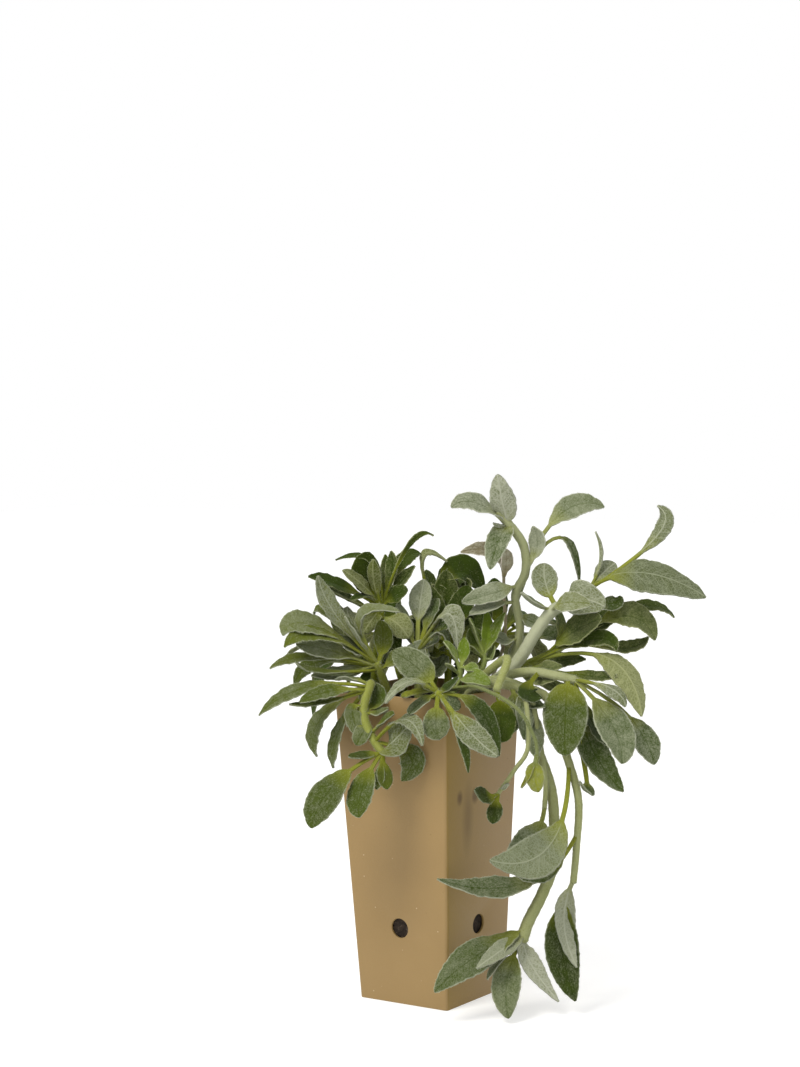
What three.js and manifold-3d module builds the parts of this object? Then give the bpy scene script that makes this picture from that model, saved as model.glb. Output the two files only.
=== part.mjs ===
// Lamb's ear (Stachys byzantina) growing over the rim of a tall square pot.
// Millimetres, +Z up. The origin is the centre of the pot's underside, and the pot's sides
// face along X and Y. The plant has its own frame, turned about Z against the pot:
// x runs to the right, y away and z up, from the same origin.
import * as THREE from 'three';
import { mergeVertices } from 'three/addons/utils/BufferGeometryUtils.js';
import Module from 'manifold-3d';

// ---- driving dimensions -------------------------------------------------------------
const POT_TOP = 90; // outer width across the rim
const POT_BOTTOM = 70.4; // outer width across the underside
const POT_HEIGHT = 206.8;
const POT_WALL = 2;
const POT_FLOOR = 3;
const POT_CORNER = 2.4; // radius of the upright corners
const DRAIN_RADIUS = 6.5; // one round drain hole in the middle of each side
const DRAIN_HEIGHT = 51.4;
const SOIL_GAP = 0.3; // between the soil and the pot
const SOIL_EDGE = 197; // height of the soil beside the wall
const SOIL_CROWN = 199.5; // height of the soil in the middle
const STEM_FOOT = 186; // stems stand this low in the soil
const STEM_COLLAR = 200; // and are upright up to here
const STEM_CLEAR = 206; // its path is free above this
const HOLE_GAP = 0.3; // between a stem and the round hole it stands in
const HOLE_SIDES = 6; // facets round such a hole
const PLANT_TURN = 34.6; // degrees, from the plant's frame to the pot's
const STEM_SIDES = 4;
const STEM_STEP = 14; // length of one faceted stretch of stem
const BLADE_STEP = 19; // length of one faceted stretch of leaf blade
const NARROW = 13; // leaves up to this width are flat across
const CROWN = [[0.8, 0.8]]; // rounded tip of a stem: how far ahead and how thick, in tip radii
const EDGE_HALF = 0.42; // half the thickness of a leaf at its edge
const RIB_HALF = 0.7; // and along its midrib
const WAVE = 0.8; // how far a leaf's edge waves up and down

const SILVER = 0x8f9c83;
const GREEN = 0x6f7f52;
const PALE = 0xa3ab86;
const YELLOW = 0xa7ab4a;
const DRIED = 0x857b63;

const upward = new THREE.Vector3(0, 0, 1);
const wasm = await Module();
wasm.setup();

// ---- solids -------------------------------------------------------------------------

// Closed skin over rings of equal size. From side `turnFrom` on, the quads are split along
// their other diagonal, so that the two faces of a blade are split alike.
function loft(rings, turnFrom = Infinity) {
  const size = rings[0].length;
  const positions = rings.flat().flatMap((p) => [p.x, p.y, p.z]);
  const index = [];
  for (let i = 0; i + 1 < rings.length; i++) {
    for (let k = 0; k < size; k++) {
      const a = i * size + k;
      const b = i * size + (k + 1) % size;
      const c = b + size;
      const d = a + size;
      if (k < turnFrom) index.push(a, b, c, a, c, d);
      else index.push(a, b, d, b, c, d);
    }
  }
  addCap(index, size, 0, true);
  addCap(index, size, (rings.length - 1) * size, false);
  const geometry = new THREE.BufferGeometry();
  geometry.setAttribute('position', new THREE.Float32BufferAttribute(positions, 3));
  geometry.setIndex(index);
  return geometry;
}

function addCap(index, size, first, isStart) {
  for (let k = 1; k + 1 < size; k++) {
    const a = first + k;
    if (isStart) index.push(first, a + 1, a);
    else index.push(first, a, a + 1);
  }
}

function toManifold(geometry) {
  const plain = geometry.clone();
  plain.deleteAttribute('normal');
  plain.deleteAttribute('uv');
  const merged = mergeVertices(plain, 1e-4);
  return new wasm.Manifold(new wasm.Mesh({
    numProp: 3,
    vertProperties: Float32Array.from(merged.attributes.position.array),
    triVerts: Uint32Array.from(merged.index.array),
  }));
}

function toGeometry(solid) {
  const { vertProperties, triVerts } = solid.getMesh();
  const geometry = new THREE.BufferGeometry();
  geometry.setAttribute('position', new THREE.Float32BufferAttribute(vertProperties, 3));
  geometry.setIndex([...triVerts]);
  geometry.computeVertexNormals();
  return geometry;
}

function fuse(geometries) {
  return toGeometry(geometries.map(toManifold).reduce((sum, solid) => sum.add(solid)));
}

function cut(geometry, tools) {
  return toGeometry(tools.map(toManifold).reduce((rest, tool) => rest.subtract(tool), toManifold(geometry)));
}

// ---- pot and soil -------------------------------------------------------------------

// Horizontal ring of a square with rounded corners.
function squareRing(half, corner, z) {
  const ring = [];
  for (let quarter = 0; quarter < 4; quarter++) {
    const middle = new THREE.Vector3(half - corner, half - corner, z);
    for (let step = 0; step <= 3; step++) {
      const angle = step * Math.PI / 6;
      const p = new THREE.Vector3(corner * Math.cos(angle), corner * Math.sin(angle), 0).add(middle);
      ring.push(p.applyAxisAngle(upward, quarter * Math.PI / 2));
    }
  }
  return ring;
}

// Half the pot's outer width at a height.
function potHalf(z) {
  return THREE.MathUtils.lerp(POT_BOTTOM, POT_TOP, z / POT_HEIGHT) / 2;
}

function potGeometry() {
  const outside = loft([0, POT_HEIGHT].map((z) => squareRing(potHalf(z), POT_CORNER, z)));
  const inside = loft([POT_FLOOR, POT_HEIGHT + 1].map(
    (z) => squareRing(potHalf(z) - POT_WALL, POT_CORNER - POT_WALL / 2, z)));
  const holes = [0, 1].map((side) => {
    const hole = new THREE.CylinderGeometry(DRAIN_RADIUS, DRAIN_RADIUS, POT_TOP, 16);
    return hole.rotateZ(side * Math.PI / 2).translate(0, 0, DRAIN_HEIGHT);
  });
  return cut(outside, [inside, ...holes]);
}

function soilGeometry(feet) {
  const bottom = POT_FLOOR + SOIL_GAP;
  const shrink = POT_WALL + SOIL_GAP;
  const corner = POT_CORNER - shrink / 2;
  const rings = [bottom, SOIL_EDGE].map((z) => squareRing(potHalf(z) - shrink, corner, z));
  const crownWidth = potHalf(SOIL_EDGE) / 2;
  rings.push(squareRing(crownWidth, crownWidth / 2, SOIL_CROWN));
  const depth = SOIL_CROWN - STEM_FOOT + 2;
  const holes = feet.map(({ place, radius }) => {
    const around = (radius + HOLE_GAP) / Math.cos(Math.PI / HOLE_SIDES);
    const hole = new THREE.CylinderGeometry(around, around, depth, HOLE_SIDES).rotateX(Math.PI / 2);
    return hole.translate(place.x, place.y, STEM_FOOT - HOLE_GAP + depth / 2);
  });
  return cut(loft(rings), holes);
}

// ---- stems --------------------------------------------------------------------------

// A stem that stands in the soil has a foot [x, y] and rises straight out of its hole
// before it follows its path. A side stem has only its path, which starts inside another.
function stemCurve({ foot, path }) {
  const points = path.map((p) => new THREE.Vector3(...p));
  if (foot) {
    const rise = [STEM_FOOT, STEM_COLLAR, STEM_CLEAR].map((z) => new THREE.Vector3(...foot, z));
    points.unshift(...rise);
  }
  return new THREE.CatmullRomCurve3(points, false, 'catmullrom', 0.5);
}

function stemRing(centre, across, along, radius) {
  const side = new THREE.Vector3().crossVectors(along, across);
  return Array.from({ length: STEM_SIDES }, (_, k) => {
    const angle = 2 * Math.PI * k / STEM_SIDES;
    return centre.clone()
      .addScaledVector(across, radius * Math.cos(angle))
      .addScaledVector(side, radius * Math.sin(angle));
  });
}

function stemGeometry(stem) {
  const curve = stemCurve(stem);
  const [footRadius, tipRadius] = stem.radius;
  const start = stem.foot ? (STEM_COLLAR - STEM_FOOT) / curve.getLength() : 0;
  const steps = Math.max(2, Math.round((1 - start) * curve.getLength() / STEM_STEP));
  const places = Array.from({ length: steps + 1 }, (_, i) => THREE.MathUtils.lerp(start, 1, i / steps));
  if (stem.foot) places.unshift(0);
  const rings = [];
  let across = new THREE.Vector3(1, 0, 0);
  let along;
  for (const u of places) {
    along = curve.getTangentAt(u);
    across = across.clone().addScaledVector(along, -across.dot(along)).normalize();
    rings.push(stemRing(curve.getPointAt(u), across, along, THREE.MathUtils.lerp(footRadius, tipRadius, u)));
  }
  const tip = curve.getPointAt(1);
  for (const [ahead, share] of CROWN) {
    const centre = tip.clone().addScaledVector(along, ahead * tipRadius);
    rings.push(stemRing(centre, across, along, share * tipRadius));
  }
  return loft(rings);
}

// ---- leaves -------------------------------------------------------------------------

// Half the leaf's width at s, from 0 at the stem to 1 at the tip: a narrow stalk, then an
// oval blade. A short stalk goes with a blade that is widest near the stem, and broad leaves
// end more bluntly than narrow ones.
function halfWidth(s, width, stalk, length) {
  const stalkHalf = Math.min(1.3, 0.14 * width);
  if (s <= stalk) return stalkHalf;
  const u = (s - stalk) / (1 - stalk);
  const bluntness = THREE.MathUtils.clamp(0.92 - 0.65 * width / (length * (1 - stalk)), 0.48, 0.8);
  const blade = width / 2 * Math.max(0, Math.sin(Math.PI * u ** (0.7 + stalk))) ** bluntness;
  return Math.max(blade, stalkHalf * (1 - u) + EDGE_HALF * u);
}

// One leaf from its row in the shoot: how far back from the stem's tip it grows, counted in
// steps of the path; the points halfway and at its tip; width; the direction its upper side
// faces away from, in degrees about z; its roll about the midrib; how deep it is folded;
// and the share of its length that is stalk.
function leafGeometry(stem, [back, halfway, end, width, heading, roll, fold, stalk = 0.22]) {
  const curve = stemCurve(stem);
  const base = curve.getPoint(1 - back / (curve.points.length - 1));
  const middle = new THREE.Vector3(...halfway);
  const tip = new THREE.Vector3(...end);
  const pull = middle.clone().multiplyScalar(2).addScaledVector(base, -0.5).addScaledVector(tip, -0.5);
  const line = new THREE.QuadraticBezierCurve3(base, pull, tip);
  const turn = THREE.MathUtils.degToRad(heading);
  const level = new THREE.Vector3(-Math.sin(turn), Math.cos(turn), 0);
  const length = line.getLength();
  const steps = THREE.MathUtils.clamp(Math.round(length * (1 - stalk) / BLADE_STEP), 2, 4);
  const rings = [];
  for (let i = -1; i <= steps; i++) {
    const s = i < 0 ? 0 : THREE.MathUtils.lerp(stalk, 1, (1 - Math.cos(Math.PI * i / steps)) / 2);
    const along = line.getTangent(s);
    const up = new THREE.Vector3().crossVectors(along, level).normalize();
    up.applyAxisAngle(along, THREE.MathUtils.degToRad(roll) * Math.min(1, s / 0.45));
    const half = halfWidth(s, width, stalk, length);
    const isBlade = i > 0 && i < steps;
    const wave = isBlade ? (i % 2 ? WAVE : -WAVE) * Math.min(1, half / 8) : 0;
    const ring = leafRing(line.getPoint(s), along, up, half, fold * half / 2, wave);
    rings.push(width > NARROW ? ring : ring.filter((_, k) => k % 3 !== 1));
  }
  return loft(rings, rings[0].length / 2);
}

// Six points round the leaf: left edge, midrib and right edge above, then back below.
function leafRing(centre, along, up, half, lift, wave) {
  const across = new THREE.Vector3().crossVectors(up, along);
  const point = (sideways, raised) => centre.clone()
    .addScaledVector(across, sideways)
    .addScaledVector(up, raised);
  return [
    point(half, lift + wave + EDGE_HALF),
    point(0, RIB_HALF - lift),
    point(-half, lift - wave + EDGE_HALF),
    point(-half, lift - wave - EDGE_HALF),
    point(0, -RIB_HALF - lift),
    point(half, lift + wave - EDGE_HALF),
  ];
}

// ---- the shoots, in the plant's frame -----------------------------------------------
const shoots = [
  { // leans out over the left of the rim and arches its long leaves to the left
    node: 'leafy_stem_left', colour: SILVER,
    foot: [-27, -6], path: [[-33, -14, 225]], radius: [3.2, 2.6],
    leaves: [
      [0, [-60, -17, 259], [-71, -19, 285], 15, 8, -50, -0.2],
      [0, [-43, -16, 257], [-17, -17, 260], 14, 350, 25, 0.4],
      [0, [-46, -22, 246], [-53, -28, 259], 12, 215, -35, 0.3],
      [0.1, [-75, -22, 253], [-94, -30, 247], 20, 195, -40, 0.2],
      [0.1, [-64, -5, 257], [-75, 2, 257], 10, 160, -20, 0.3],
      [0, [-70, -26, 247], [-93, -36, 240], 14, 200, -40, 0.2],
      [0.1, [-66, -18, 236], [-86, -22, 240], 17, 190, -50, 0.15],
      [0.1, [-76, -16, 231], [-104, -19, 224], 10, 185, -30, 0.2],
      [0.2, [-69, -30, 223], [-85, -44, 231], 9, 210, -20, 0.2],
      [0.2, [-72, -4, 226], [-89, 3, 208], 10, 240, -20, 0.2],
      [0, [-49, 4, 249], [-53, 18, 260], 9, 300, 0, -0.4],
      [0.1, [-29, -5, 233], [-24, 2, 238], 7, 60, 0, 0.4],
      [0, [-46, -12, 235], [-61, -15, 244], 14, 200, -45, 0.2],
      [0, [-53, -15, 220], [-76, -28, 220], 13, 185, -40, 0.2],
      [0, [-29, -8, 239], [-31, -4, 253], 13, 90, 10, 0.25],
      [0.2, [-23, -12, 227], [-18, -10, 235], 11, 20, 30, 0.25],
    ],
  },
  { // stands behind it, taller, with a crown of upright leaves
    node: 'leafy_stem_left_back', colour: GREEN,
    foot: [-36, 12], path: [[-33, 10, 235], [-30, 12, 260]], radius: [2.8, 2.2],
    leaves: [
      [0, [-57, 5, 276], [-78, -1, 283], 13, 195, -40, 0.25],
      [0.2, [-53, 10, 268], [-69, 8, 276], 9, 185, -25, 0.3],
      [0, [-42, 2, 276], [-55, -6, 287], 12, 35, -60, -0.2],
      [0, [-39, 2, 269], [-50, -7, 267], 8, 230, -20, 0.2],
      [0, [-36, 9, 291], [-60, 7, 293], 7, 190, -30, 0.2],
      [0, [-39, 8, 280], [-37, 5, 298], 20, 90, 0, 0.15],
      [0, [-34, 3, 279], [-34, -5, 294], 9, 250, 0, 0.4],
      [0, [-27, 22, 277], [-27, 31, 294], 9, 100, 0, 0.4],
      [0, [-23, 19, 282], [-23, 24, 297], 9, 60, 0, 0.4],
      [0, [-16, 30, 288], [-3, 44, 293], 11, 20, 40, 0.3],
      [0, [-17, 17, 276], [-7, 20, 287], 10, 20, 20, 0.4],
      [0.3, [-50, 15, 265], [-68, 18, 272], 8, 170, -20, 0.3],
      [0.3, [-21, 4, 251], [-12, 2, 240], 17, 120, 20, -0.2],
      [0, [-11, 18, 301], [6, 22, 307], 4, 70, 60, 0.1],
      [0.1, [-36, 4, 253], [-42, 0, 244], 14, 70, 0, -0.2],
      [0, [-21, 10, 268], [-12, 8, 272], 13, 10, 40, 0.2],
      [0.7, [-25, 8, 241], [-19, 5, 232], 12, 300, 20, 0.2],
      [1.4, [-22, 18, 224], [-7, 20, 230], 17, 15, 35, 0.2],
      [1.7, [-37, 20, 221], [-55, 26, 218], 13, 185, -50, 0.2],
      [1.9, [-34, 18, 214], [-46, 24, 210], 12, 190, -50, 0.2],
    ],
  },
  { // behind the middle, its leaves arching to the right
    node: 'leafy_stem_back_centre', colour: GREEN,
    foot: [-4, 30], path: [[4, 34, 235], [3, 36, 259]], radius: [2.8, 2.2],
    leaves: [
      [0, [-1, 41, 291], [15, 45, 287], 9, 180, 20, -0.3],
      [0.1, [11, 46, 277], [14, 55, 285], 9, 60, -30, 0.2],
      [0, [22, 43, 281], [39, 49, 266], 24, 0, 45, 0.35],
      [0.3, [12, 42, 272], [22, 34, 265], 15, 170, 30, -0.25],
      [0.3, [10, 39, 265], [4, 36, 273], 14, 240, -20, 0.3],
      [0, [25, 38, 268], [28, 40, 276], 10, 40, 0, 0.3],
      [0.2, [8, 30, 251], [11, 26, 242], 14, 120, 0, -0.2],
      [0.2, [-2, 30, 254], [-7, 26, 248], 13, 60, 0, -0.2],
      [0.8, [14, 27, 244], [19, 29, 252], 13, 60, 0, 0.25],
      [0.8, [22, 25, 239], [30, 25, 243], 13, 10, 40, 0.25],
      [1, [-1, 26, 240], [-3, 27, 245], 12, 110, 0, 0.25],
      [1.7, [-19, 30, 226], [-33, 27, 233], 18, 185, -30, 0.2],
      [1.5, [11, 31, 224], [26, 27, 232], 18, 350, 30, 0.2],
    ],
  },
  { // the middle of the pot
    node: 'leafy_stem_centre', colour: SILVER,
    foot: [-6, 2], path: [[-6, 4, 222], [-6, 2, 231]], radius: [3, 2.4],
    leaves: [
      [0, [-5, 15, 254], [-1, 27, 277], 15, 255, 0, -0.3, 0.42],
      [0, [14, -6, 257], [20, -11, 234], 16, 150, 30, -0.3],
      [0, [3, 16, 255], [7, 24, 264], 10, 60, 0, 0.35],
      [0, [1, 1, 233], [-15, 0, 232], 16, 195, -45, 0.2],
      [0, [9, -2, 244], [14, -5, 233], 9, 340, 0, 0.3],
      [0.3, [-19, -4, 230], [-27, -10, 222], 12, 210, -20, 0.3],
      [0, [-14, 10, 248], [-19, 17, 262], 12, 130, 0, 0.35],
      [0, [13, 16, 247], [21, 26, 259], 12, 50, 0, 0.3],
      [0, [-11, 16, 239], [-16, 12, 246], 13, 140, 0, 0.2],
      [0, [2, 6, 237], [7, 8, 242], 12, 40, 10, 0.25],
      [1.5, [4, 12, 216], [14, 15, 226], 14, 40, 20, 0.2],
    ],
  },
  { // behind the middle of the pot, filling it with upright leaves
    node: 'leafy_stem_middle', colour: GREEN,
    foot: [14, 16], path: [[14, 18, 222], [15, 20, 238]], radius: [2.6, 2.2],
    leaves: [
      [0, [6, 24, 256], [-1, 28, 274], 17, 110, 0, 0.2],
      [0, [23, 26, 256], [29, 30, 272], 17, 70, 0, 0.2],
      [0, [14, 30, 260], [14, 36, 282], 18, 90, 0, 0.2],
      [0.3, [0, 20, 240], [-14, 20, 250], 16, 160, -30, 0.2],
      [0.3, [31, 22, 244], [44, 25, 256], 16, 30, 30, 0.2],
      [0.6, [2, 12, 230], [-9, 9, 238], 15, 200, -40, 0.2],
      [0.6, [27, 14, 230], [37, 14, 241], 15, 340, 40, 0.2],
      [0.4, [39, 26, 226], [48, 30, 228], 12, 0, 40, 0.2],
      [0.7, [22, 22, 217], [13, 26, 212], 12, 180, -40, 0.2],
    ],
  },
  { // young, bright shoot at the front
    node: 'young_shoot_front', colour: PALE,
    foot: [17, -20], path: [[21, -20, 212], [22, -20, 222]], radius: [2.2, 1.6],
    leaves: [
      [0, [24, -14, 231], [25, -8, 241], 8, 90, 0, 0.3],
      [0.2, [17, -19, 233], [11, -19, 240], 9, 175, -20, 0.35],
      [0, [28, -24, 223], [33, -27, 221], 8, 330, 30, 0.4],
      [1.2, [28, -30, 218], [41, -38, 213], 13, 330, 35, 0.15],
      [0.4, [16, -22, 223], [12, -23, 226], 7, 200, 0, 0.3],
    ],
  },
  { // young shoot among the stems at the right
    node: 'young_shoot_right', colour: PALE,
    foot: [31, 1], path: [[38, 0, 222], [38, 0, 228]], radius: [2.2, 1.6],
    leaves: [
      [0, [41, 8, 243], [40, 16, 257], 9, 110, 0, 0.3, 0.05],
      [0, [44, 7, 241], [53, 12, 255], 9, 40, 20, 0.3, 0.08],
      [0.3, [41, 2, 226], [45, 4, 234], 10, 30, 10, 0.35, 0.05],
      [0, [33, 1, 242], [29, 2, 253], 9, 170, 0, 0.3],
      [0.3, [31, -2, 232], [26, -4, 236], 8, 200, 0, 0.3],
      [0.35, [33, 5, 237], [32, 8, 246], 12, 100, 0, 0.25],
    ],
  },
  { // the tallest stem, swaying up to a tuft at the top
    node: 'tall_stem', colour: SILVER,
    foot: [50, 9],
    path: [
      [57, 16, 221], [63, 16, 243], [60, 14, 266], [67, 12, 282], [66, 12, 300], [56, 10, 315], [50, 8, 322],
    ],
    radius: [2.4, 3],
    leaves: [
      [1, [34, 4, 330], [18, 0, 327], 17, 195, -50, 0.15, 0.05],
      [1, [52, 0, 332], [49, -7, 349], 17, 255, 0, 0.1, 0.05],
      [1.1, [49, 1, 305], [43, -7, 286], 17, 255, 0, 0.2, 0.05],
      [1.1, [50, 8, 314], [46, 6, 316], 6, 200, 0, 0.4],
      [2.7, [94, 17, 322], [121, 21, 324], 18, 10, 50, 0.15, 0.3],
      [2.9, [92, 19, 304], [104, 25, 272], 7, 20, 60, 0.4, 0.45],
      [2.9, [75, 10, 300], [72, 8, 313], 12, 60, 0, 0.2],
      [3.6, [46, 10, 269], [24, 4, 263], 16, 190, -50, 0.2, 0.15],
      [4.2, [44, 9, 260], [29, 4, 255], 12, 200, -30, 0.3],
      [4.6, [69, 16, 249], [81, 12, 244], 12, 330, 30, 0.25],
      [5.2, [53, 14, 236], [40, 12, 245], 12, 150, -20, 0.25],
      [6, [62, 30, 224], [68, 38, 236], 15, 60, 10, 0.2],
    ],
  },
  { // thin dead stalk with one dried leaf
    node: 'dried_leaf_stem', colour: DRIED,
    foot: [42, 15], path: [[53, 34, 234], [53, 32, 268], [53, 30, 278]], radius: [1.2, 1],
    leaves: [
      [0, [45, 27, 295], [24, 25, 295], 13, 190, -55, 0.2, 0.12],
      [0, [55, 27, 288], [54, 24, 297], 9, 110, 0, 0.4, 0.15],
    ],
  },
  { // the thickest stem, leaning out to the upper right
    node: 'leafy_stem_right_upper', colour: SILVER,
    foot: [40, -5],
    path: [[60, -6, 224], [72, -8, 243], [84, -8, 258], [97, -6, 263], [108, -4, 271]],
    radius: [4.4, 3.6],
    leaves: [
      [2, [91, -26, 265], [108, -32, 264], 14, 340, 55, 0.25],
      [2, [73, -10, 263], [63, -11, 271], 13, 190, -10, 0.3],
      [1.8, [80, 2, 275], [80, 9, 288], 17, 260, 0, -0.35],
      [1.7, [98, -13, 267], [118, -19, 261], 25, 120, 55, -0.1, 0.1],
      [0, [142, -8, 281], [185, -11, 265], 26, 175, 50, 0.2],
      [0, [155, 5, 305], [156, 13, 325], 11, 200, 50, 0.15, 0.3],
      [0, [117, 2, 290], [114, 6, 309], 5, 150, 40, 0.3],
      [0, [119, 2, 282], [127, 7, 287], 13, 210, 45, -0.15],
      [0.9, [122, -1, 261], [129, 2, 266], 10, 15, 60, 0.1],
      [3.2, [80, 6, 240], [91, 8, 244], 13, 10, 40, 0.25],
    ],
  },
  { // leans out to the right, below it
    node: 'leafy_stem_right', colour: GREEN,
    foot: [46, 3], path: [[63, 2, 219], [81, 2, 227], [99, 4, 239]], radius: [3.4, 2.6],
    leaves: [
      [0, [142, 17, 257], [168, 28, 248], 11, 20, 35, 0.2, 0.35],
      [0, [134, 1, 253], [152, -1, 236], 21, 355, 45, 0.3],
      [0.2, [131, 9, 230], [149, 13, 237], 12, 10, 30, 0.3],
      [1.2, [97, -11, 244], [115, -21, 253], 23, 330, 50, 0.15],
      [2, [108, -14, 239], [124, -27, 233], 13, 335, 45, 0.25],
      [1.6, [118, -22, 227], [139, -41, 191], 19, 150, 35, 0.25, 0.38],
      [2, [109, -18, 215], [123, -34, 217], 10, 330, 30, 0.25],
      [0.2, [117, 16, 247], [116, 26, 251], 12, 60, 0, 0.3],
      [0.8, [89, 3, 249], [81, 4, 257], 14, 150, 0, 0.3],
      [1.9, [76, -12, 220], [89, -20, 222], 12, 340, 35, 0.25],
      [2.3, [72, -18, 215], [85, -23, 215], 13, 335, 40, 0.2],
      [0.5, [112, 12, 246], [129, 18, 252], 16, 10, 40, 0.2],
      [2.4, [83, 12, 221], [107, 16, 222], 13, 0, 40, 0.2],
      [2.2, [80, 0, 208], [100, -2, 201], 12, 0, 30, 0.2],
    ],
  },
  { // hangs over the rim at the right, with the broadest leaves
    node: 'leafy_stem_right_lower', colour: SILVER,
    foot: [35, -13], path: [[47, -14, 214], [66, -20, 219], [84, -26, 217], [96, -26, 214]],
    radius: [3.4, 2.8],
    leaves: [
      [0.3, [89, -45, 192], [88, -58, 169], 29, 272, 0, 0.1, 0.08],
      [0.2, [106, -36, 172], [126, -48, 143], 20, 315, 25, 0.15, 0.22],
      [0, [119, -46, 188], [124, -63, 164], 24, 310, 20, 0.2],
      [0, [131, -34, 190], [147, -40, 159], 18, 345, 45, 0.1, 0.5],
      [0.5, [102, -43, 155], [98, -57, 151], 13, 235, -40, 0.2, 0.6],
      [0, [107, -33, 187], [116, -38, 172], 14, 330, 0, 0.2],
      [0, [119, -40, 209], [128, -46, 198], 10, 155, 30, 0.2],
      [1.6, [65, -41, 209], [74, -42, 205], 13, 320, 30, 0.25],
    ],
  },
  { // trails down past the pot's side and ends in a tuft just above the ground
    node: 'trailing_stem_left', colour: SILVER,
    foot: [25, -28],
    path: [
      [36, -31, 213], [61, -30, 208], [65, -34, 186], [80, -34, 142], [80, -36, 96], [73, -41, 76],
      [63, -46, 58], [59, -50, 48],
    ],
    radius: [2.6, 4],
    leaves: [
      [2.7, [41, -57, 83], [4, -73, 93], 17, 205, -40, 0.2, 0.06],
      [0.6, [26, -69, 40], [1, -84, 22], 24, 210, -35, 0.1, 0.06],
      [0.2, [45, -68, 45], [28, -84, 37], 13, 20, -40, -0.3, 0.06],
      [0, [48, -69, 27], [48, -83, 4], 19, 262, 0, 0.15],
      [0, [64, -60, 33], [81, -67, 10], 14, 150, 30, -0.2, 0.06],
      [0, [44, -62, 37], [35, -69, 26], 7, 220, 0, 0.3],
      [6, [67, -37, 201], [76, -44, 199], 10, 300, 20, 0.2],
      [6, [68, -40, 185], [69, -48, 167], 13, 265, 0, 0.2],
      [6.3, [57, -38, 199], [54, -44, 182], 13, 265, 0, 0.2],
      [6.1, [63, -38, 199], [62, -46, 178], 13, 290, 0, 0.2],
    ],
  },
  { // its thin side stem
    node: 'trailing_stem_left', colour: SILVER,
    path: [[61, -30, 208], [68, -38, 202], [73, -40, 173], [76, -40, 150], [75, -40, 132]],
    radius: [1.8, 1.6],
    leaves: [
      [0, [67, -52, 115], [49, -62, 104], 20, 220, -40, 0.15],
    ],
  },
  { // trails down beside it and ends in two nested leaves
    node: 'trailing_stem_right', colour: SILVER,
    foot: [30, -21],
    path: [
      [43, -22, 214], [62, -21, 209], [80, -26, 200], [90, -32, 166], [97, -42, 138], [95, -48, 107],
      [93, -44, 84],
    ],
    radius: [3.4, 2.2],
    leaves: [
      [2.8, [76, -80, 115], [37, -105, 111], 27, 45, -55, -0.2, 0.3],
      [1.3, [73, -67, 94], [49, -82, 101], 14, 215, -30, 0.2],
      [0, [84, -56, 50], [92, -66, 10], 22, 215, -45, 0.25],
      [0, [86, -56, 60], [93, -66, 32], 14, 50, -60, -0.4, 0.1],
    ],
  },
  { // thin stem whose leaves have turned yellow
    node: 'yellowed_leaf_stem', colour: YELLOW,
    foot: [21, -36], path: [[30, -43, 213], [56, -62, 202], [68, -60, 182], [70, -59, 170]],
    radius: [1.3, 1.2],
    leaves: [
      [0, [68, -62, 159], [70, -66, 147], 12, 260, 0, 0.2],
      [0, [65, -60, 158], [59, -61, 149], 7, 200, 0, 0.2],
      [3.2, [-6, -44, 210], [-16, -46, 207], 8, 200, -20, 0.3],
      [3.4, [3, -40, 211], [-2, -38, 216], 7, 170, -20, 0.3],
    ],
  },
  { // spreads over the front corner of the rim
    node: 'leafy_stem_front', colour: SILVER,
    foot: [4, -45], path: [[7, -60, 211]], radius: [3, 2.4],
    leaves: [
      [0, [-5, -53, 226], [-22, -45, 237], 20, 150, -55, 0.15],
      [0.1, [-11, -67, 220], [-27, -73, 207], 11, 20, -20, -0.25],
      [0, [5, -70, 194], [7, -77, 184], 17, 270, 0, 0.2],
      [0, [26, -86, 190], [43, -106, 177], 17, 115, 20, -0.15],
      [0.1, [32, -64, 202], [45, -68, 171], 12, 310, 25, 0.3],
      [0, [12, -59, 214], [20, -57, 221], 9, 20, 10, 0.3],
      [0.1, [20, -77, 188], [25, -74, 162], 6, 280, 0, 0.2],
      [0, [-4, -62, 206], [-12, -68, 199], 12, 230, 0, 0.2],
      [0, [13, -63, 207], [21, -62, 202], 12, 320, 20, 0.2],
    ],
  },
  { // bent stem with one dark leaf hanging in front of the pot
    node: 'bent_stem', colour: GREEN,
    foot: [27, -9], path: [[52, -27, 229], [45, -43, 211]], radius: [2.9, 2.6],
    leaves: [
      [0, [47, -49, 194], [47, -56, 178], 19, 285, 0, 0.2],
    ],
  },
  { // another side stem, which drops in front of the pot with a pair of small leaves
    node: 'trailing_stem_left', colour: SILVER,
    path: [[61, -30, 208], [64, -48, 200], [64, -56, 174], [55, -58, 160], [44, -60, 145]],
    radius: [1.6, 1.3],
    leaves: [
      [0, [36, -66, 145], [29, -70, 150], 13, 215, -50, 0.15],
      [0, [42, -66, 136], [40, -71, 128], 10, 265, 0, 0.2],
      [0.3, [48, -60, 149], [51, -61, 152], 8, 330, 0, 0.2],
    ],
  },
  { // hangs over the left of the rim, leaves all along it
    node: 'leafy_stem_front_left', colour: SILVER,
    foot: [-38, -18],
    path: [[-37, -27, 213], [-38, -37, 213], [-42, -43, 197], [-36, -50, 181], [-30, -54, 173]],
    radius: [3.1, 2.6],
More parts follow.
